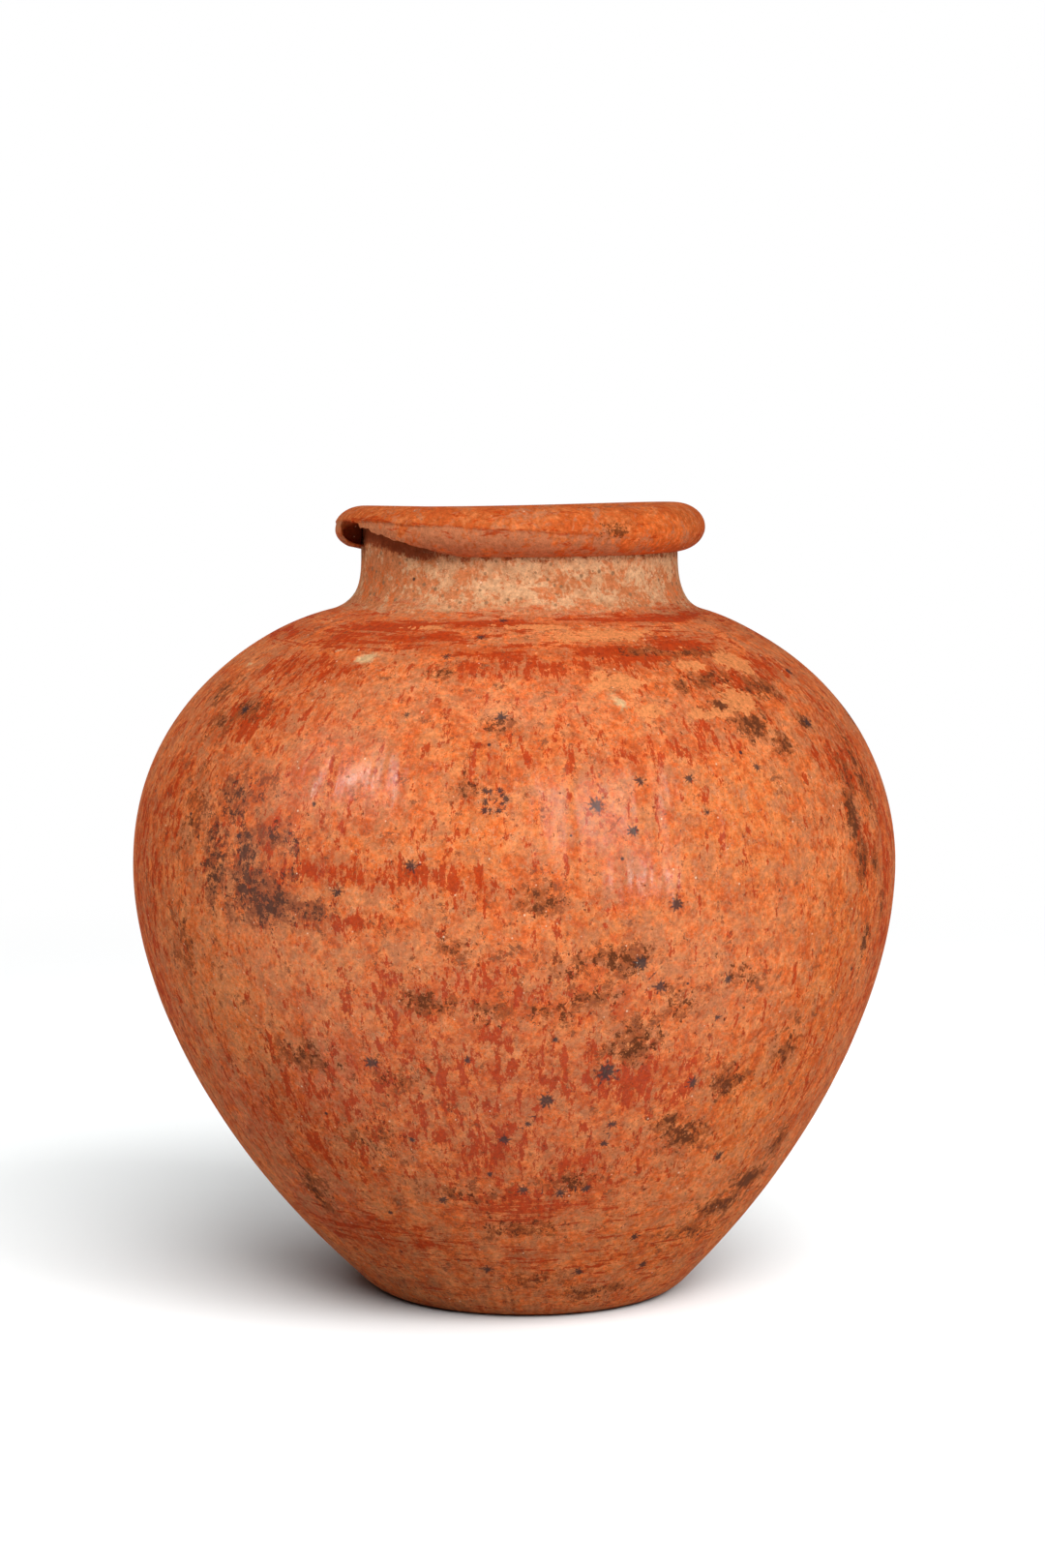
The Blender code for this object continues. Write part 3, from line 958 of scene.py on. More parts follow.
def cap_break(shape, mesh, places, fold):
    """Opens the sharp end of the break, where the fold's hollow shows, and closes the broken clay."""
    angle = np.arctan2(places[:, 1], places[:, 0]) % (2 * math.pi)
    step = 2 * math.pi / RIM_FACETS
    column = np.rint((angle - shape.loss_from) / step).astype(int)
    body = bmesh.new()
    body.from_mesh(mesh)
    body.faces.ensure_lookup_table()
    slot = body.faces[0].material_index
    gone = [
        face
        for face in body.faces
        if all(fold[vert.index] > 0 for vert in face.verts)
        and {column[vert.index] for vert in face.verts} == {0, 1}
    ]
    bmesh.ops.delete(body, geom=gone, context="FACES_ONLY")
    ends = []
    for side, outwards in ((0, 1), (1, -1)):
        rims = [
            edge
            for edge in body.edges
            if edge.is_boundary and all(column[vert.index] == side for vert in edge.verts)
        ]
        ring = {vert for edge in rims for vert in edge.verts}
        loose = [vert for vert in ring if sum(vert in edge.verts for edge in rims) == 1]
        chain = []
        point = max(loose, key=lambda vert: vert.co.xy.length)
        while point:
            chain.append(point)
            onward = [edge.other_vert(point) for edge in rims if point in edge.verts]
            point = next((vert for vert in onward if vert not in chain), None)
        cap = body.faces.new(chain)
        cap.material_index = slot
        cap.normal_update()
        around = Vector((-chain[0].co.y, chain[0].co.x, 0)) * outwards
        if cap.normal.dot(around) < 0:
            cap.normal_flip()
        ends.append(chain)
    top = body.faces.new((ends[0][0], ends[1][0], ends[1][-1], ends[0][-1]))
    top.material_index = slot
    top.normal_update()
    if top.normal.z > 0:
        top.normal_flip()
    body.to_mesh(mesh)
    body.free()


def work_rim(shape, outline, rows, places, inside, fold):
    """Breaks the fold, and presses in the strip under the line where its edge was smoothed down."""
    break_fold(shape, outline, rows, places, inside, fold)
    radius = np.hypot(places[:, 0], places[:, 1])
    bearing = np.degrees(np.arctan2(places[:, 0], -places[:, 1]))
    bearings, heights, depths = zip(*FOLD_LINE)
    line = np.interp(bearing, bearings, heights) / MM
    line += LINE_WAVER * np.sin(np.radians(bearing) * LINE_WAVES)
    depth = np.interp(bearing, bearings, depths)
    crown = outline.rim_centre.x
    outer = smooth_step(crown, crown + CROWN_EASE, radius) * (1 - inside)
    below = line - places[:, 2]
    strip = smooth_step(0, STRIP_EDGE, below) * depth * outer
    pressed = 1 - STRIP_DEPTH * strip / radius
    places[:, 0] *= pressed
    places[:, 1] *= pressed
    fold_line = np.exp(-((below / LINE_WIDTH) ** 2)) * depth * outer
    return {"strip": strip, "fold_line": fold_line}


def painted_shadow_strength(shape, outline, places):
    """How strongly a point of the neck is painted with the shadow that the fold's edge throws on it, as
    seen from the front: deep under the break, and a thin painted shade line just below a whole edge.
    """
    across = np.clip(places[:, 0] / (outline.rim_centre.x + shape.rim_reach), -1, 1)
    behind = np.arctan2(places[:, 1], places[:, 0]) % (2 * math.pi)
    angle = np.where(places[:, 1] < 0, 2 * math.pi - np.arccos(across), behind)
    edge = hanging_edge(shape, outline, angle)
    lost = (edge - outline.waist_height) / shape.loss_height
    reach = SHADOW_REACH + BREAK_REACH * smooth_step(0, 0.30, lost)
    reach += HOLLOW_REACH * smooth_step(0.6, 0.9, lost)
    dark = SHADOW_SHARE + (1 - SHADOW_SHARE) * smooth_step(0, 0.35, lost)
    return smooth_step(edge - reach, edge - reach / 2, places[:, 2]) * dark


def shape_by_hand(shape, outline, places):
    """Gives every piece the same lean of the foot, shift of the neck and warp of the rim."""
    angle = np.arctan2(places[:, 1], places[:, 0])
    height = places[:, 2].copy()
    below = np.clip(1 - height / shape.belly_height, 0, 1)
    half_span = shape.neck_shift_span / 2
    root = outline.root_height
    aside = shape.neck_shift * smooth_step(root - half_span, root + half_span, height)
    tilt = shape.rim_tilt * np.cos(angle - shape.rim_tilt_towards)
    warp = shape.rim_warp * np.cos(2 * (angle - shape.rim_warp_towards))
    places[:, 2] += (tilt + warp) * smooth_step(root, outline.waist_height, height)
    places[:, 0] += shape.foot_lean * below**LEAN_CURVE + aside


def presence(outline, bearing, climb, marks):
    """How strongly a set of marks shows at each point, fading out from each mark's middle."""
    most = np.zeros(len(bearing))
    for at, height, across, tall, strength in marks:
        distance = outline.distance_at(height / MM)
        radius = outline.at(distance).x
        aside = (bearing - math.radians(at) + math.pi) % (2 * math.pi) - math.pi
        away = (aside * radius * MM / across) ** 2 + ((climb - distance) * MM / tall) ** 2
        most = np.maximum(most, strength * np.exp(-away))
    return most


def spot_offsets(outline, bearing, climb):
    """Where each point lies beside its nearest manganese spot and how far off, in the spot's radii."""
    nearest = np.full(len(bearing), SPOT_REACH)
    offsets = np.zeros((len(bearing), 3))
    for at, height, size in MANGANESE_SPOTS:
        distance = outline.distance_at(height / MM)
        radius = outline.at(distance).x
        aside = (bearing - math.radians(at) + math.pi) % (2 * math.pi) - math.pi
        across = aside * radius * MM / size
        up = (climb - distance) * MM / size
        away = np.hypot(across, up)
        closer = away < nearest
        offsets[closer] = np.column_stack((across, up, away))[closer]
        nearest = np.minimum(nearest, away)
    offsets[:, 2] = nearest
    return offsets


def turn_section(context, shape, node, rows, closed, facets, clay):
    """Turns a section into a piece with a plain mesh."""
    section = bpy.data.meshes.new(node + "_section")
    section.from_pydata([row.point for row in rows], [], [])
    for label in CARRIED:
        values = [getattr(row, label) for row in rows]
        section.attributes.new(label, "FLOAT", "POINT").data.foreach_set("value", values)
    piece = bpy.data.objects.new("clay_" + node, section)
    context.scene.collection.objects.link(piece)
    tree = bpy.data.node_groups.get("turned_clay") or turning_tree()
    sizes = {
        "Facets": facets,
        "Rows": len(rows) + int(closed),
        "Stations": len(rows),
        "Lump Height": shape.lump_height,
        "Lump Size": shape.lump_size,
        "Clay": clay,
    }
    turning = piece.modifiers.new("turned_clay", "NODES")
    turning.node_group = tree
    for socket in tree.interface.items_tree:
        if socket.name in sizes:
            turning[socket.identifier] = sizes[socket.name]
    made = bpy.data.meshes.new_from_object(piece.evaluated_get(context.evaluated_depsgraph_get()))
    piece.modifiers.clear()
    piece.data = made
    made.name = piece.name
    bpy.data.meshes.remove(section)
    return piece


def turned_piece(context, node, rows, closed, facets, clay):
    """Makes a piece from its section, maps its wear, stains and painted shade, and sets it in the place
    of its CAD node.
    """
    shape = context.scene.jar_shape
    outline = Outline(shape)
    piece = turn_section(context, shape, node, rows, closed, facets, clay)
    made = piece.data
    count = len(made.vertices)
    places = np.empty(count * 3)
    made.vertices.foreach_get("co", places)
    places = places.reshape(-1, 3)
    carried = {label: np.empty(count) for label in CARRIED}
    for label, values in carried.items():
        made.attributes[label].data.foreach_get("value", values)
    climb = carried["climb"]
    fold = carried["fold"]
    bearing = np.arctan2(places[:, 0], -places[:, 1])
    plain = np.zeros(count)
    # Map of the painted shadow that the fold's edge throws on the neck
    worked = {"strip": plain, "fold_line": plain, "painted_fold_shadow": painted_shadow_strength(shape, outline, places)}
    if fold.any():
        worked.update(work_rim(shape, outline, rows, places, carried["inside"], fold))
        cap_break(shape, made, places, fold)
        tear_end(shape, places, fold)
    shape_by_hand(shape, outline, places)
    made.vertices.foreach_set("co", places.ravel())

    across = np.sin(bearing) * STRAIGHT_RADIUS
    straight = np.column_stack((across, -np.cos(bearing) * STRAIGHT_RADIUS, climb))
    beside = spot_offsets(outline, bearing, climb)
    for label, values in (("straightened", straight), ("beside_spot", beside)):
        made.attributes.new(label, "FLOAT_VECTOR", "POINT").data.foreach_set("vector", values.ravel())
    maps = {label: presence(outline, bearing, climb, marks) for label, marks in MARKS.items()}
    maps.update(worked)
    for label, values in maps.items():
        made.attributes.new(label, "FLOAT", "POINT").data.foreach_set("value", values)
    made.shade_smooth()
    made.set_sharp_from_angle(angle=SHARP_ANGLE)
    made.update()
    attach(piece, BODY)
    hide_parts(node)
    return piece


def patchy(tree, grain, strength, reach, low, high, most=1.0, edge="SMOOTHSTEP"):
    """Mask that breaks up like the grain and fills in where a mark is strong."""
    lifted = add(
        tree, "ShaderNodeMath", {0: strength, 1: reach, 2: grain}, operation="MULTIPLY_ADD"
    ).outputs[0]
    return add(
        tree, "ShaderNodeMapRange", {0: lifted, 1: low, 2: high, 4: most}, interpolation_type=edge
    ).outputs[0]


def new_clay(name):
    """A material with only its shader and output."""
    clay = bpy.data.materials.new(name)
    clay.use_nodes = True
    return clay, clay.node_tree, clay.node_tree.nodes["Principled BSDF"]


def carried_maps(tree, *labels):
    """The maps of wear, stains and painted shade that a material reads from its pieces."""
    return {
        label: add(tree, "ShaderNodeAttribute", attribute_name=label).outputs["Fac"] for label in labels
    }


def clay_grain(tree, where, wall, *labels):
    """Cloudy patterns of the clay and slip. Those longer one way than the other follow the wall."""
    grain = {}
    for label in labels:
        around, along, detail, roughness, torn = GRAINS[label]
        drawn = add(
            tree,
            "ShaderNodeMapping",
            {
                "Vector": where if around == along else wall,
                "Scale": (MM / around, MM / around, MM / along),
            },
        ).outputs[0]
        grain[label] = add(
            tree,
            "ShaderNodeTexNoise",
            {
                "Vector": drawn,
                "Scale": 1.0,
                "Detail": detail,
                "Roughness": roughness,
                "Distortion": torn,
            },
        ).outputs["Fac"]
    return grain


def laid(tree, ground, coats):
    """Lays coats of colour over a ground, each through its mask."""
    for mask, colour in coats:
        ground = add(
            tree, "ShaderNodeMix", {0: mask, 6: ground, 7: (*colour, 1)}, data_type="RGBA"
        ).outputs[2]
    return ground


def gritty(tree, where, ground, fine, colours):
    """Sand and mica in the clay: light and dark grains, and sparks drawn coarse enough to show."""
    shade = add(tree, "ShaderNodeMapRange", {0: fine, 1: 0.25, 2: 0.75, 3: 0.62, 4: 1.38}).outputs[0]
    grained = add(
        tree, "ShaderNodeMix", {0: 1.0, 6: ground, 7: shade}, data_type="RGBA", blend_type="MULTIPLY"
    ).outputs[2]
    cells = add(tree, "ShaderNodeTexVoronoi", {"Vector": where, "Scale": MM / 3.1}).outputs
    chance = add(tree, "ShaderNodeSeparateColor", {0: cells["Color"]}).outputs
    size = add(tree, "ShaderNodeMapRange", {0: chance[0], 1: 0.55, 2: 1.0, 3: 0.0, 4: 0.13}).outputs[0]
    inner = add(tree, "ShaderNodeMath", {0: size, 1: 0.5}, operation="MULTIPLY").outputs[0]
    spark = add(
        tree, "ShaderNodeMapRange", {0: cells["Distance"], 1: size, 2: inner, 3: 0.0, 4: 0.75}
    ).outputs[0]
    return laid(tree, grained, [(spark, colours.spark)])


def specks(tree, where, millimetres, largest, seldom):
    """Small dark specks of random size, scattered a set distance apart."""
    cells = add(tree, "ShaderNodeTexVoronoi", {"Vector": where, "Scale": MM / millimetres}).outputs
    chance = add(tree, "ShaderNodeSeparateColor", {0: cells["Color"]}).outputs
    size = add(
        tree, "ShaderNodeMapRange", {0: chance[1], 1: seldom, 2: 1.0, 3: 0.0, 4: largest / millimetres}
    ).outputs[0]
    inner = add(tree, "ShaderNodeMath", {0: size, 1: 0.6}, operation="MULTIPLY").outputs[0]
    return add(
        tree, "ShaderNodeMapRange", {0: cells["Distance"], 1: size, 2: inner, 3: 0.0, 4: 0.9}
    ).outputs[0]


def manganese_spots(tree, where):
    """Landmark spots that spread in short ragged arms, like ferns."""
    beside = add(tree, "ShaderNodeAttribute", attribute_name="beside_spot").outputs["Vector"]
    parts = add(tree, "ShaderNodeSeparateXYZ", {0: beside}).outputs
    flat = add(tree, "ShaderNodeCombineXYZ", {0: parts[0], 1: parts[1]}).outputs[0]
    away = add(tree, "ShaderNodeVectorMath", {0: flat}, operation="LENGTH").outputs["Value"]
    angle = add(tree, "ShaderNodeMath", {0: parts[1], 1: parts[0]}, operation="ARCTAN2").outputs[0]
    fern = add(
        tree,
        "ShaderNodeTexNoise",
        {"Vector": where, "Scale": MM / 1.2, "Detail": 3.0, "Roughness": 0.75},
    ).outputs["Fac"]
    turned = add(
        tree, "ShaderNodeMath", {0: angle, 1: 9.0, 2: fern}, operation="MULTIPLY_ADD"
    ).outputs[0]
    arms = add(tree, "ShaderNodeMath", {0: turned}, operation="SINE").outputs[0]
    width = add(tree, "ShaderNodeMapRange", {0: arms, 1: -1.0, 2: 1.0, 3: 1.35, 4: 0.75}).outputs[0]
    spread_out = add(tree, "ShaderNodeMath", {0: away, 1: width}, operation="MULTIPLY").outputs[0]
    edge = add(
        tree, "ShaderNodeMath", {0: fern, 1: 2.6, 2: spread_out}, operation="MULTIPLY_ADD"
    ).outputs[0]
    spot = add(tree, "ShaderNodeMapRange", {0: edge, 1: 2.20, 2: 1.75, 3: 0.0, 4: 0.88}).outputs[0]
    near = add(tree, "ShaderNodeMapRange", {0: parts[2], 1: 3.0, 2: 2.4}).outputs[0]
    return add(tree, "ShaderNodeMath", {0: spot, 1: near}, operation="MULTIPLY").outputs[0]


def jar_skin(colours, name):
    """Iron-rich slip rubbed with a pebble and fired in the open: a satin red-orange skin whose strokes
    run up the body and round the neck's root and the foot, worn to pinkish grit and stained by fire and
    earth. It laps unevenly over the seam to the neck, which was wiped to dry buff clay before firing."""
    clay, tree, shader = new_clay(name)
    where = add(tree, "ShaderNodeTexCoord").outputs["Object"]
    wall = add(tree, "ShaderNodeAttribute", attribute_name="straightened").outputs["Vector"]
    climb = add(tree, "ShaderNodeSeparateXYZ", {0: wall}).outputs["Z"]
    maps = carried_maps(tree, "inside", "painted_fold_shadow", *MARKS)
    soft = ("broad", "slip", "grey", "wear", "crumb", "fine")
    grain = clay_grain(tree, where, wall, *soft, "upright", "girth", "sweep", "dash", "burnish")

    wiped = climb
    for label, reach in (("girth", 0.030), ("wear", 0.016)):
        wiped = add(
            tree, "ShaderNodeMath", {0: grain[label], 1: reach, 2: wiped}, operation="MULTIPLY_ADD"
        ).outputs[0]
    low, high, under_rim, bare = (
        add(
            tree,
            "ShaderNodeMapRange",
            {0: height, 1: band[0], 2: band[1]},
            interpolation_type="SMOOTHSTEP",
        ).outputs[0]
        for height, band in (
            (climb, FOOT_BAND),
            (climb, ROOT_BAND),
            (climb, UNDER_RIM_SHADE_BAND),
            (wiped, BARE_BAND),
        )
    )
    strokes = add(tree, "ShaderNodeMix", {0: low, 2: grain["upright"], 3: grain["girth"]}).outputs[0]
    strokes = add(tree, "ShaderNodeMix", {0: high, 2: strokes, 3: grain["sweep"]}).outputs[0]
    drawn = add(tree, "ShaderNodeMapRange", {0: high, 3: 0.36, 4: 0.70}).outputs[0]
    tone = add(tree, "ShaderNodeMix", {0: drawn, 2: grain["slip"], 3: strokes}).outputs[0]
    for shift, reach in ((maps["red_stroke"], -0.045), (maps["worn"], 0.040)):
        tone = add(
            tree, "ShaderNodeMath", {0: shift, 1: reach, 2: tone}, operation="MULTIPLY_ADD"
        ).outputs[0]
    flecked = add(tree, "ShaderNodeMix", {0: 0.5, 2: grain["crumb"], 3: grain["dash"]}).outputs[0]
    ragged = add(tree, "ShaderNodeMix", {0: 0.3, 2: strokes, 3: flecked}).outputs[0]

    worn_through = patchy(tree, grain["crumb"], maps["worn"], 0.05, 0.560, 0.660, 0.6)
    stained = patchy(tree, flecked, maps["earth_stain"], 0.165, 0.600, 0.640, 0.87)
    handled = patchy(tree, grain["grey"], maps["earth_stain"], 0.05, 0.500, 0.620, 0.8, "LINEAR")
    coats = [
        (patchy(tree, grain["broad"], maps["yellow"], 0.30, 0.50, 0.90, 0.8), colours.slip_yellow),
        (patchy(tree, grain["broad"], maps["pink"], 0.40, 0.60, 0.95, 0.8), colours.slip_pink),
        (patchy(tree, grain["grey"], 0.0, 0.0, 0.500, 0.380, 0.8, "LINEAR"), colours.slip_vivid),
        (patchy(tree, tone, 0.0, 0.0, 0.508, 0.410, 0.85, "LINEAR"), colours.slip_rust),
        (patchy(tree, tone, 0.0, 0.0, 0.500, 0.610, 0.85, "LINEAR"), colours.worn_light),
        (handled, colours.slip_dull),
        (worn_through, colours.worn_buff),
        (patchy(tree, ragged, maps["red_stroke"], 0.115, 0.552, 0.592, 0.90), colours.slip_red),
        (patchy(tree, grain["wear"], maps["earth_stain"], 0.21, 0.580, 0.660, 0.80), colours.stain_thin),
        (stained, colours.stain_brown),
        (patchy(tree, grain["slip"], maps["flake"], 0.36, 0.665, 0.685, 0.92), colours.flake_orange),
        (patchy(tree, grain["wear"], maps["fire_cloud"], 0.19, 0.570, 0.680, 0.75), colours.smoke),
        (patchy(tree, flecked, maps["fire_cloud"], 0.17, 0.625, 0.670, 0.85), colours.soot),
        (bare, colours.neck_buff),
    ]
    skin = laid(tree, (*colours.slip_orange, 1), coats)
    thin_slip = patchy(tree, grain["slip"], maps["red_stroke"], 0.11, 0.520, 0.590, 0.75, "LINEAR")
    neck_coats = [
        (patchy(tree, grain["grey"], 0.0, 0.0, 0.400, 0.600, 0.65, "LINEAR"), colours.neck_cream),
        (thin_slip, colours.neck_orange),
        (patchy(tree, grain["wear"], maps["red_stroke"], 0.05, 0.575, 0.630, 0.75), colours.slip_vivid),
        (specks(tree, where, 2.4, 0.90, 0.05), colours.neck_grit_and_painted_shade),
        # Painted shade on the neck under the rim, laid as grey-brown patches
        (patchy(tree, grain["wear"], under_rim, 0.06, 0.560, 0.650, 0.5), colours.neck_grit_and_painted_shade),
    ]
    for mask, colour in neck_coats:
        on_neck = add(tree, "ShaderNodeMath", {0: mask, 1: bare}, operation="MULTIPLY").outputs[0]
        skin = laid(tree, skin, [(on_neck, colour)])
    coats = [
        # Painted shadow on the neck under the fold's edge, laid in the dark clay colour
        (patchy(tree, grain["crumb"], maps["painted_fold_shadow"], 0.40, 0.58, 0.76, 0.92), colours.dark_clay_and_painted_shade),
        (patchy(tree, grain["wear"], maps["lime"], 0.30, 0.64, 0.84, 0.85), colours.lime),
        (specks(tree, where, 9.0, 0.75, 0.5), colours.manganese),
        (manganese_spots(tree, where), colours.manganese),
        (maps["inside"], colours.inner_clay),
    ]
    skin = laid(tree, skin, coats)
    colour = gritty(tree, where, skin, grain["fine"], colours)
    tree.links.new(colour, shader.inputs["Base Color"])

    facing = add(tree, "ShaderNodeLayerWeight", {"Blend": 0.5}).outputs["Facing"]
    aslant = add(
        tree, "ShaderNodeMapRange", {0: facing, 1: 0.15, 2: 0.50}, interpolation_type="SMOOTHSTEP"
    ).outputs[0]
    dull = worn_through
    for matt in (stained, bare, maps["inside"], aslant):
        dull = add(tree, "ShaderNodeMath", {0: dull, 1: matt}, operation="MAXIMUM").outputs[0]
    gloss = add(
        tree, "ShaderNodeMapRange", {0: grain["wear"], 1: 0.40, 2: 0.60, 3: 0.10, 4: 0.34}
    ).outputs[0]
    rough = add(tree, "ShaderNodeMix", {0: dull, 2: gloss, 3: 1.0}).outputs[0]
    tree.links.new(rough, shader.inputs["Roughness"])
    slipped = add(tree, "ShaderNodeMath", {0: 1.0, 1: bare}, operation="SUBTRACT").outputs[0]
    facets = add(
        tree, "ShaderNodeBump", {"Strength": slipped, "Distance": 0.0016, "Height": grain["burnish"]}
    ).outputs[0]
    bump = add(
        tree,
        "ShaderNodeBump",
        {"Strength": 0.6, "Distance": 0.00010, "Height": grain["crumb"], "Normal": facets},
    ).outputs[0]
    tree.links.new(bump, shader.inputs["Normal"])
    shader.inputs["IOR"].default_value = 1.45
    shader.inputs["Specular IOR Level"].default_value = 0.20
    return clay


def smoothed_rim_slip(colours):
    """Rim smoothed with wet fingers: dull orange with fine sparkling grit, rubbed brown in a strip
    under the fold line, and dark where the broken flap shows the core of the clay."""
    clay, tree, shader = new_clay("smoothed_rim_slip")
    where = add(tree, "ShaderNodeTexCoord").outputs["Object"]
    wall = add(tree, "ShaderNodeAttribute", attribute_name="straightened").outputs["Vector"]
    maps = carried_maps(
        tree, "inside", "strip", "fold_line", "yellow", "red_stroke", "worn", "earth_stain", "fire_cloud"
    )
    grain = clay_grain(tree, where, wall, "patch", "slip", "grey", "crumb", "girth", "fine")
    tone = add(tree, "ShaderNodeMix", {0: 0.12, 2: grain["slip"], 3: grain["girth"]}).outputs[0]
    rubbed = patchy(tree, grain["grey"], maps["strip"], 0.15, 0.530, 0.650, 0.9, "LINEAR")
    stained = patchy(tree, grain["crumb"], maps["earth_stain"], 0.26, 0.690, 0.770, 0.8)
    coats = [
        (patchy(tree, grain["patch"], maps["yellow"], 0.30, 0.52, 0.70, 0.55), colours.slip_vivid),
        (patchy(tree, tone, maps["red_stroke"], -0.04, 0.505, 0.405, 0.65, "LINEAR"), colours.slip_rust),
        (patchy(tree, tone, maps["worn"], 0.04, 0.500, 0.600, 0.40, "LINEAR"), colours.worn_light),
        (rubbed, colours.rim_dull),
        (patchy(tree, grain["girth"], maps["fold_line"], 0.09, 0.580, 0.640, 0.7), colours.slip_red),
        (stained, colours.stain_brown),
        (patchy(tree, grain["crumb"], maps["fire_cloud"], 0.26, 0.690, 0.770, 0.8), colours.soot),
        # Painted shade along the crease of the fold line, in the dark clay colour
        (patchy(tree, grain["girth"], maps["fold_line"], 0.09, 0.620, 0.700, 0.4), colours.dark_clay_and_painted_shade),
        (specks(tree, where, 9.0, 0.8, 0.7), colours.manganese),
        (maps["inside"], colours.dark_clay_and_painted_shade),
    ]
    skin = laid(tree, (*colours.rim_orange, 1), coats)
    colour = gritty(tree, where, skin, grain["fine"], colours)
    tree.links.new(colour, shader.inputs["Base Color"])
    shader.inputs["Roughness"].default_value = 0.85
    bump = add(
        tree, "ShaderNodeBump", {"Strength": 0.8, "Distance": 0.00015, "Height": grain["fine"]}
    ).outputs[0]
    tree.links.new(bump, shader.inputs["Normal"])
    shader.inputs["IOR"].default_value = 1.45
    shader.inputs["Specular IOR Level"].default_value = 0.08
    return clay


def burnished_slip(context):
    """The material that the base and the wall share."""
    name = "burnished_red_slip"
    return bpy.data.materials.get(name) or jar_skin(context.scene.jar_finish, name)


class JAR_OT_base(bpy.types.Operator):
    """Build the flat pat of clay that the jar stands on"""

    bl_idname = "jar.base_pat"
    bl_label = "Base pat"

    def execute(self, context):
        shape = context.scene.jar_shape
        outline = Outline(shape)
        clay = burnished_slip(context)
        seam = outline.distance_at(shape.pat_seam_height)
        rows = pat_rows(shape, outline, seam)
        turned_piece(context, "base_pat", rows, False, BASE_FACETS, clay)
        return {"FINISHED"}


class JAR_OT_wall(bpy.types.Operator):
    """Build the rings of coil that make the wall"""

    bl_idname = "jar.wall_coils"
    bl_label = "Wall coils"

    def execute(self, context):
        shape = context.scene.jar_shape
        outline = Outline(shape)
        clay = burnished_slip(context)
        first = outline.distance_at(shape.pat_seam_height)
        last = outline.distance_at(outline.root_height + shape.collar_seam_rise)
        course = (last - first) / WALL_COILS
        for number in range(WALL_COILS):
            lower = first + course * number
            rows = ring_rows(shape, outline, lower, lower + course)
            turned_piece(context, f"wall_coil_{number + 1}", rows, True, WALL_FACETS, clay)
        return {"FINISHED"}


class JAR_OT_neck(bpy.types.Operator):
    """Build the collar of bare clay that makes the neck"""

    bl_idname = "jar.neck_collar"
    bl_label = "Neck collar"

    def execute(self, context):
        shape = context.scene.jar_shape
        outline = Outline(shape)
        clay = jar_skin(context.scene.jar_finish, "bare_buff_clay")
        lower = outline.distance_at(outline.root_height + shape.collar_seam_rise)
        upper = outline.distance_at(outline.neck_top)
        rows = ring_rows(shape, outline, lower, upper)
        turned_piece(context, "neck_collar", rows, True, WALL_FACETS, clay)
        return {"FINISHED"}


class JAR_OT_rim(bpy.types.Operator):
    """Build the strip folded over the neck, with the break in its edge"""

    bl_idname = "jar.rim_fold"
    bl_label = "Rim fold"

    def execute(self, context):
        shape = context.scene.jar_shape
        outline = Outline(shape)
        clay = smoothed_rim_slip(context.scene.jar_finish)
        seam = outline.distance_at(outline.neck_top)
        rows = rim_rows(shape, outline, seam)
        turned_piece(context, "rim_fold", rows, True, RIM_FACETS, clay)
        return {"FINISHED"}


def seen_directly(tree):
    """1 for what the camera sees, also in a reflection or through glass, and 0 for light on its way."""
    path = add(tree, "ShaderNodeLightPath").outputs
    seen = path["Is Camera Ray"]
    for ray in ("Is Glossy Ray", "Is Transmission Ray"):
        seen = add(tree, "ShaderNodeMath", {0: seen, 1: path[ray]}, operation="MAXIMUM").outputs[0]
    return seen


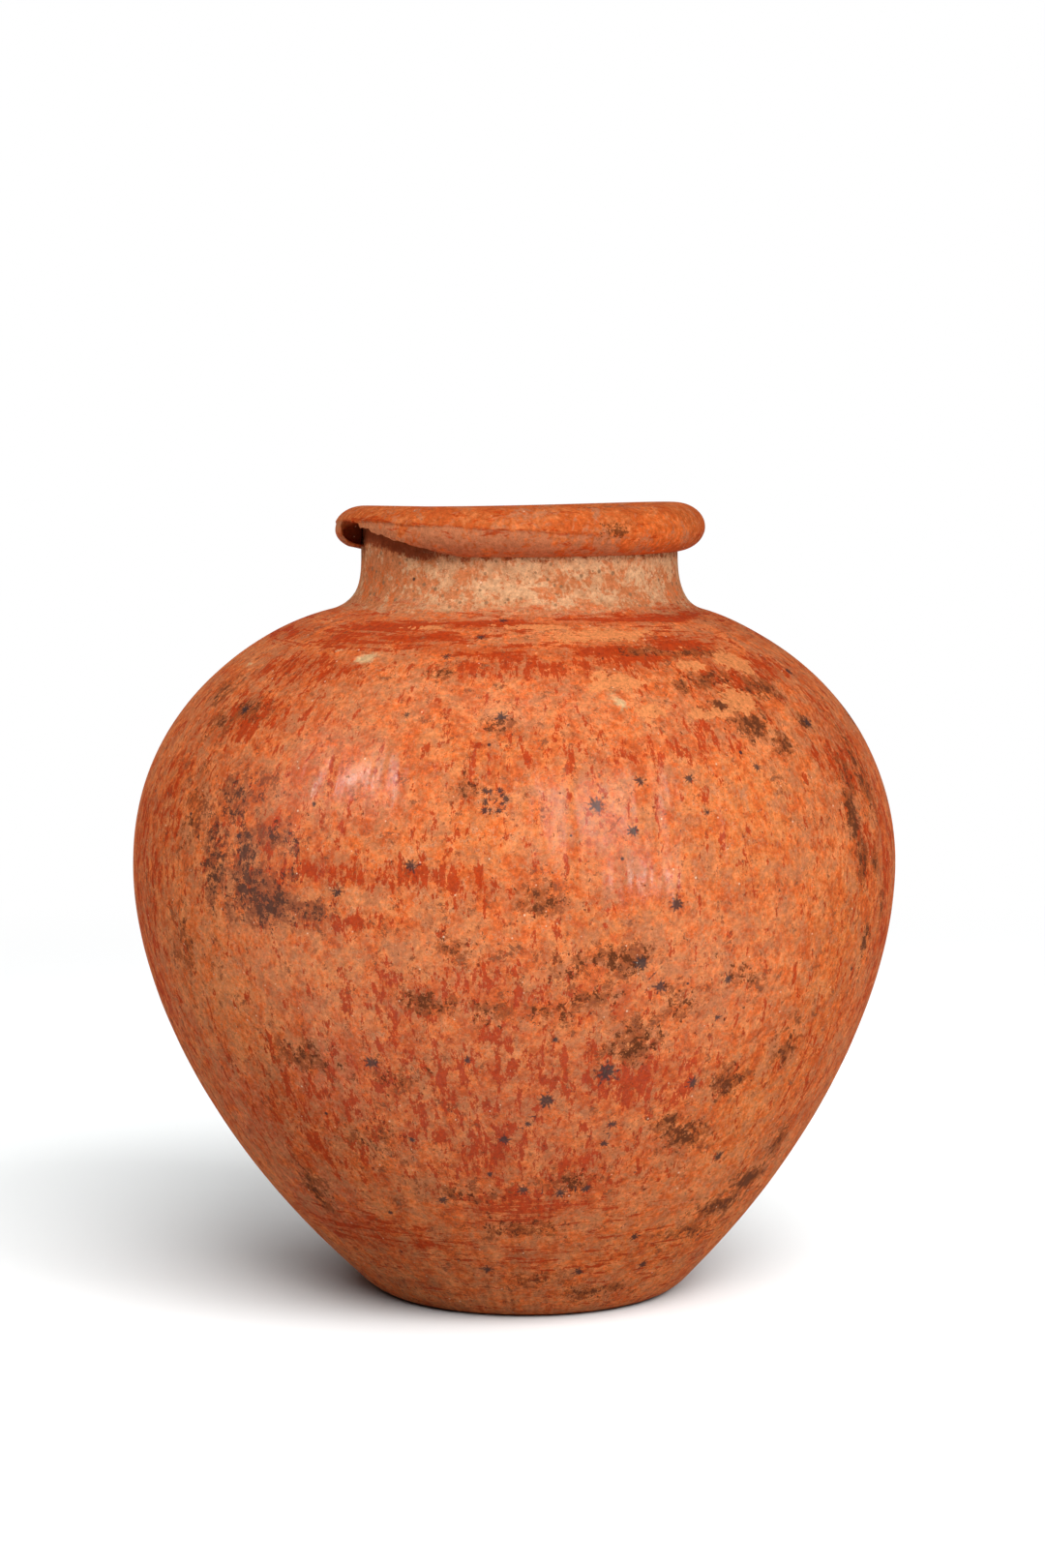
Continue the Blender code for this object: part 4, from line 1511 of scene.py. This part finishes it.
class JAR_OT_stage(bpy.types.Operator):
    """Set up the floor, the soft lights and the camera"""

    bl_idname = "jar.stage"
    bl_label = "Stage"

    def execute(self, context):
        stage = context.scene.jar_stage
        scene = context.scene
        scene.view_settings.view_transform = "Standard"
        floor = self.lay_floor(scene, stage)
        # Each lamp's bearing and rise in degrees, and its size in metres
        for name, bearing, rise, size, watts in (
            ("soft_key", 26, 30, 0.8, stage.key_power),
            ("soft_fill", -78, 20, 1.0, stage.fill_power),
            ("low_gleam", 38, 5, 0.28, stage.low_gleam_power),
            ("high_gleam", -56, 41, 0.33, stage.high_gleam_power),
            ("mouth_light", 0, 88, 0.5, stage.mouth_power),
        ):
            self.light(scene, name, bearing, rise, size, watts, floor, "EXCLUDE")
        for name, bearing, rise, size, watts in (
            ("floor_key", 50, 38, 1.0, stage.floor_key_power),
            ("floor_front", 6, 38, 1.0, stage.floor_front_power),
            ("floor_top", 0, 85, 3.0, stage.floor_top_power),
        ):
            self.light(scene, name, bearing, rise, size, watts, floor, "INCLUDE")
        self.fill_room(scene, stage)
        lens = bpy.data.cameras.new("camera")
        lens.lens = stage.camera_lens
        lens.sensor_width = 36
        camera = bpy.data.objects.new("camera", lens)
        camera.location = stage.camera_place
        camera.rotation_euler = (math.pi / 2 - stage.camera_pitch, 0, 0)
        scene.collection.objects.link(camera)
        scene.camera = camera
        return {"FINISHED"}

    def lay_floor(self, scene, stage):
        """A pale sweep of floor that keeps the jar's shadow and is white to the camera away from it."""
        sheet = bpy.data.meshes.new("floor")
        turns = ((-1, -1), (1, -1), (1, 1), (-1, 1))
        corners = [(FLOOR_HALF * x, FLOOR_HALF * y, -FLOOR_DROP) for x, y in turns]
        sheet.from_pydata(corners, [], [(0, 1, 2, 3)])
        floor = bpy.data.objects.new("floor", sheet)
        scene.collection.objects.link(floor)
        paper = bpy.data.materials.new("white_paper")
        paper.use_nodes = True
        tree = paper.node_tree
        tree.nodes.clear()
        seen = seen_directly(tree)
        bounce = (stage.floor_bounce, stage.floor_bounce, stage.floor_bounce, 1)
        tone = add(
            tree, "ShaderNodeMix", {0: seen, 6: bounce, 7: (*stage.floor_paper, 1)}, data_type="RGBA"
        ).outputs[2]
        lit = add(tree, "ShaderNodeBsdfDiffuse", {"Color": tone}).outputs[0]
        white = add(tree, "ShaderNodeEmission", {"Strength": 1.0}).outputs[0]
        where = add(tree, "ShaderNodeTexCoord").outputs["Object"]
        away = add(tree, "ShaderNodeVectorMath", {0: where}, operation="LENGTH").outputs["Value"]
        far = add(
            tree, "ShaderNodeMapRange", {0: away, 1: 0.35, 2: 0.9}, interpolation_type="SMOOTHSTEP"
        ).outputs[0]
        open_floor = add(tree, "ShaderNodeMath", {0: far, 1: seen}, operation="MULTIPLY").outputs[0]
        surface = add(tree, "ShaderNodeMixShader", {0: open_floor, 1: lit, 2: white}).outputs[0]
        add(tree, "ShaderNodeOutputMaterial", {"Surface": surface})
        sheet.materials.append(paper)
        return floor

    def light(self, scene, name, bearing, rise, size, watts, floor, floor_state):
        """A square soft box, aimed at the jar, that lights the floor alone or all but the floor."""
        lamp = bpy.data.lights.new(name, "AREA")
        lamp.energy = watts
        lamp.size = size
        box = bpy.data.objects.new(name, lamp)
        lit = bpy.data.collections.new(name + "_reach")
        lit.objects.link(floor)
        lit.collection_objects[0].light_linking.link_state = floor_state
        box.light_linking.receiver_collection = lit
        around = math.radians(bearing)
        up = math.radians(rise)
        level = math.cos(up)
        aim = Vector((math.sin(around) * level, -math.cos(around) * level, math.sin(up)))
        box.location = LAMP_AIM + aim * LAMP_DISTANCE
        box.rotation_euler = aim.to_track_quat("Z", "Y").to_euler()
        scene.collection.objects.link(box)

    def fill_room(self, scene, stage):
        """Even light for the jar, and white where the room itself is seen."""
        room = bpy.data.worlds.new("room")
        room.use_nodes = True
        tree = room.node_tree
        tree.nodes.clear()
        seen = seen_directly(tree)
        level = add(tree, "ShaderNodeMix", {0: seen, 2: stage.room_light, 3: 1.0}).outputs[0]
        glow = add(tree, "ShaderNodeBackground", {"Color": (1, 1, 1, 1), "Strength": level}).outputs[0]
        add(tree, "ShaderNodeOutputWorld", {"Surface": glow})
        scene.world = room


class JAR_PT_panel(bpy.types.Panel):
    """Lists the jar's pieces in the order in which they are built"""

    bl_idname = "JAR_PT_panel"
    bl_label = "Jar"
    bl_space_type = "VIEW_3D"
    bl_region_type = "UI"
    bl_category = "Jar"

    def draw(self, context):
        for step in OPERATORS:
            self.layout.operator(step.bl_idname)
        for group in (context.scene.jar_shape, context.scene.jar_finish, context.scene.jar_stage):
            column = self.layout.column(align=True)
            for name in group.__annotations__:
                column.prop(group, name)


OPERATORS = (JAR_OT_base, JAR_OT_wall, JAR_OT_neck, JAR_OT_rim, JAR_OT_stage)
CLASSES = (JarShape, JarFinish, JarStage, *OPERATORS, JAR_PT_panel)


def register():
    """Registers the classes and hangs their settings on the scene."""
    for item in CLASSES:
        bpy.utils.register_class(item)
    bpy.types.Scene.jar_shape = bpy.props.PointerProperty(type=JarShape)
    bpy.types.Scene.jar_finish = bpy.props.PointerProperty(type=JarFinish)
    bpy.types.Scene.jar_stage = bpy.props.PointerProperty(type=JarStage)


def unregister():
    """Takes the settings off the scene and unregisters the classes."""
    del bpy.types.Scene.jar_shape
    del bpy.types.Scene.jar_finish
    del bpy.types.Scene.jar_stage
    for item in reversed(CLASSES):
        bpy.utils.unregister_class(item)


def main():
    """Builds the jar and its stage."""
    register()
    bpy.ops.jar.base_pat()
    bpy.ops.jar.wall_coils()
    bpy.ops.jar.neck_collar()
    bpy.ops.jar.rim_fold()
    bpy.ops.jar.stage()


if __name__ == "__main__":
    main()
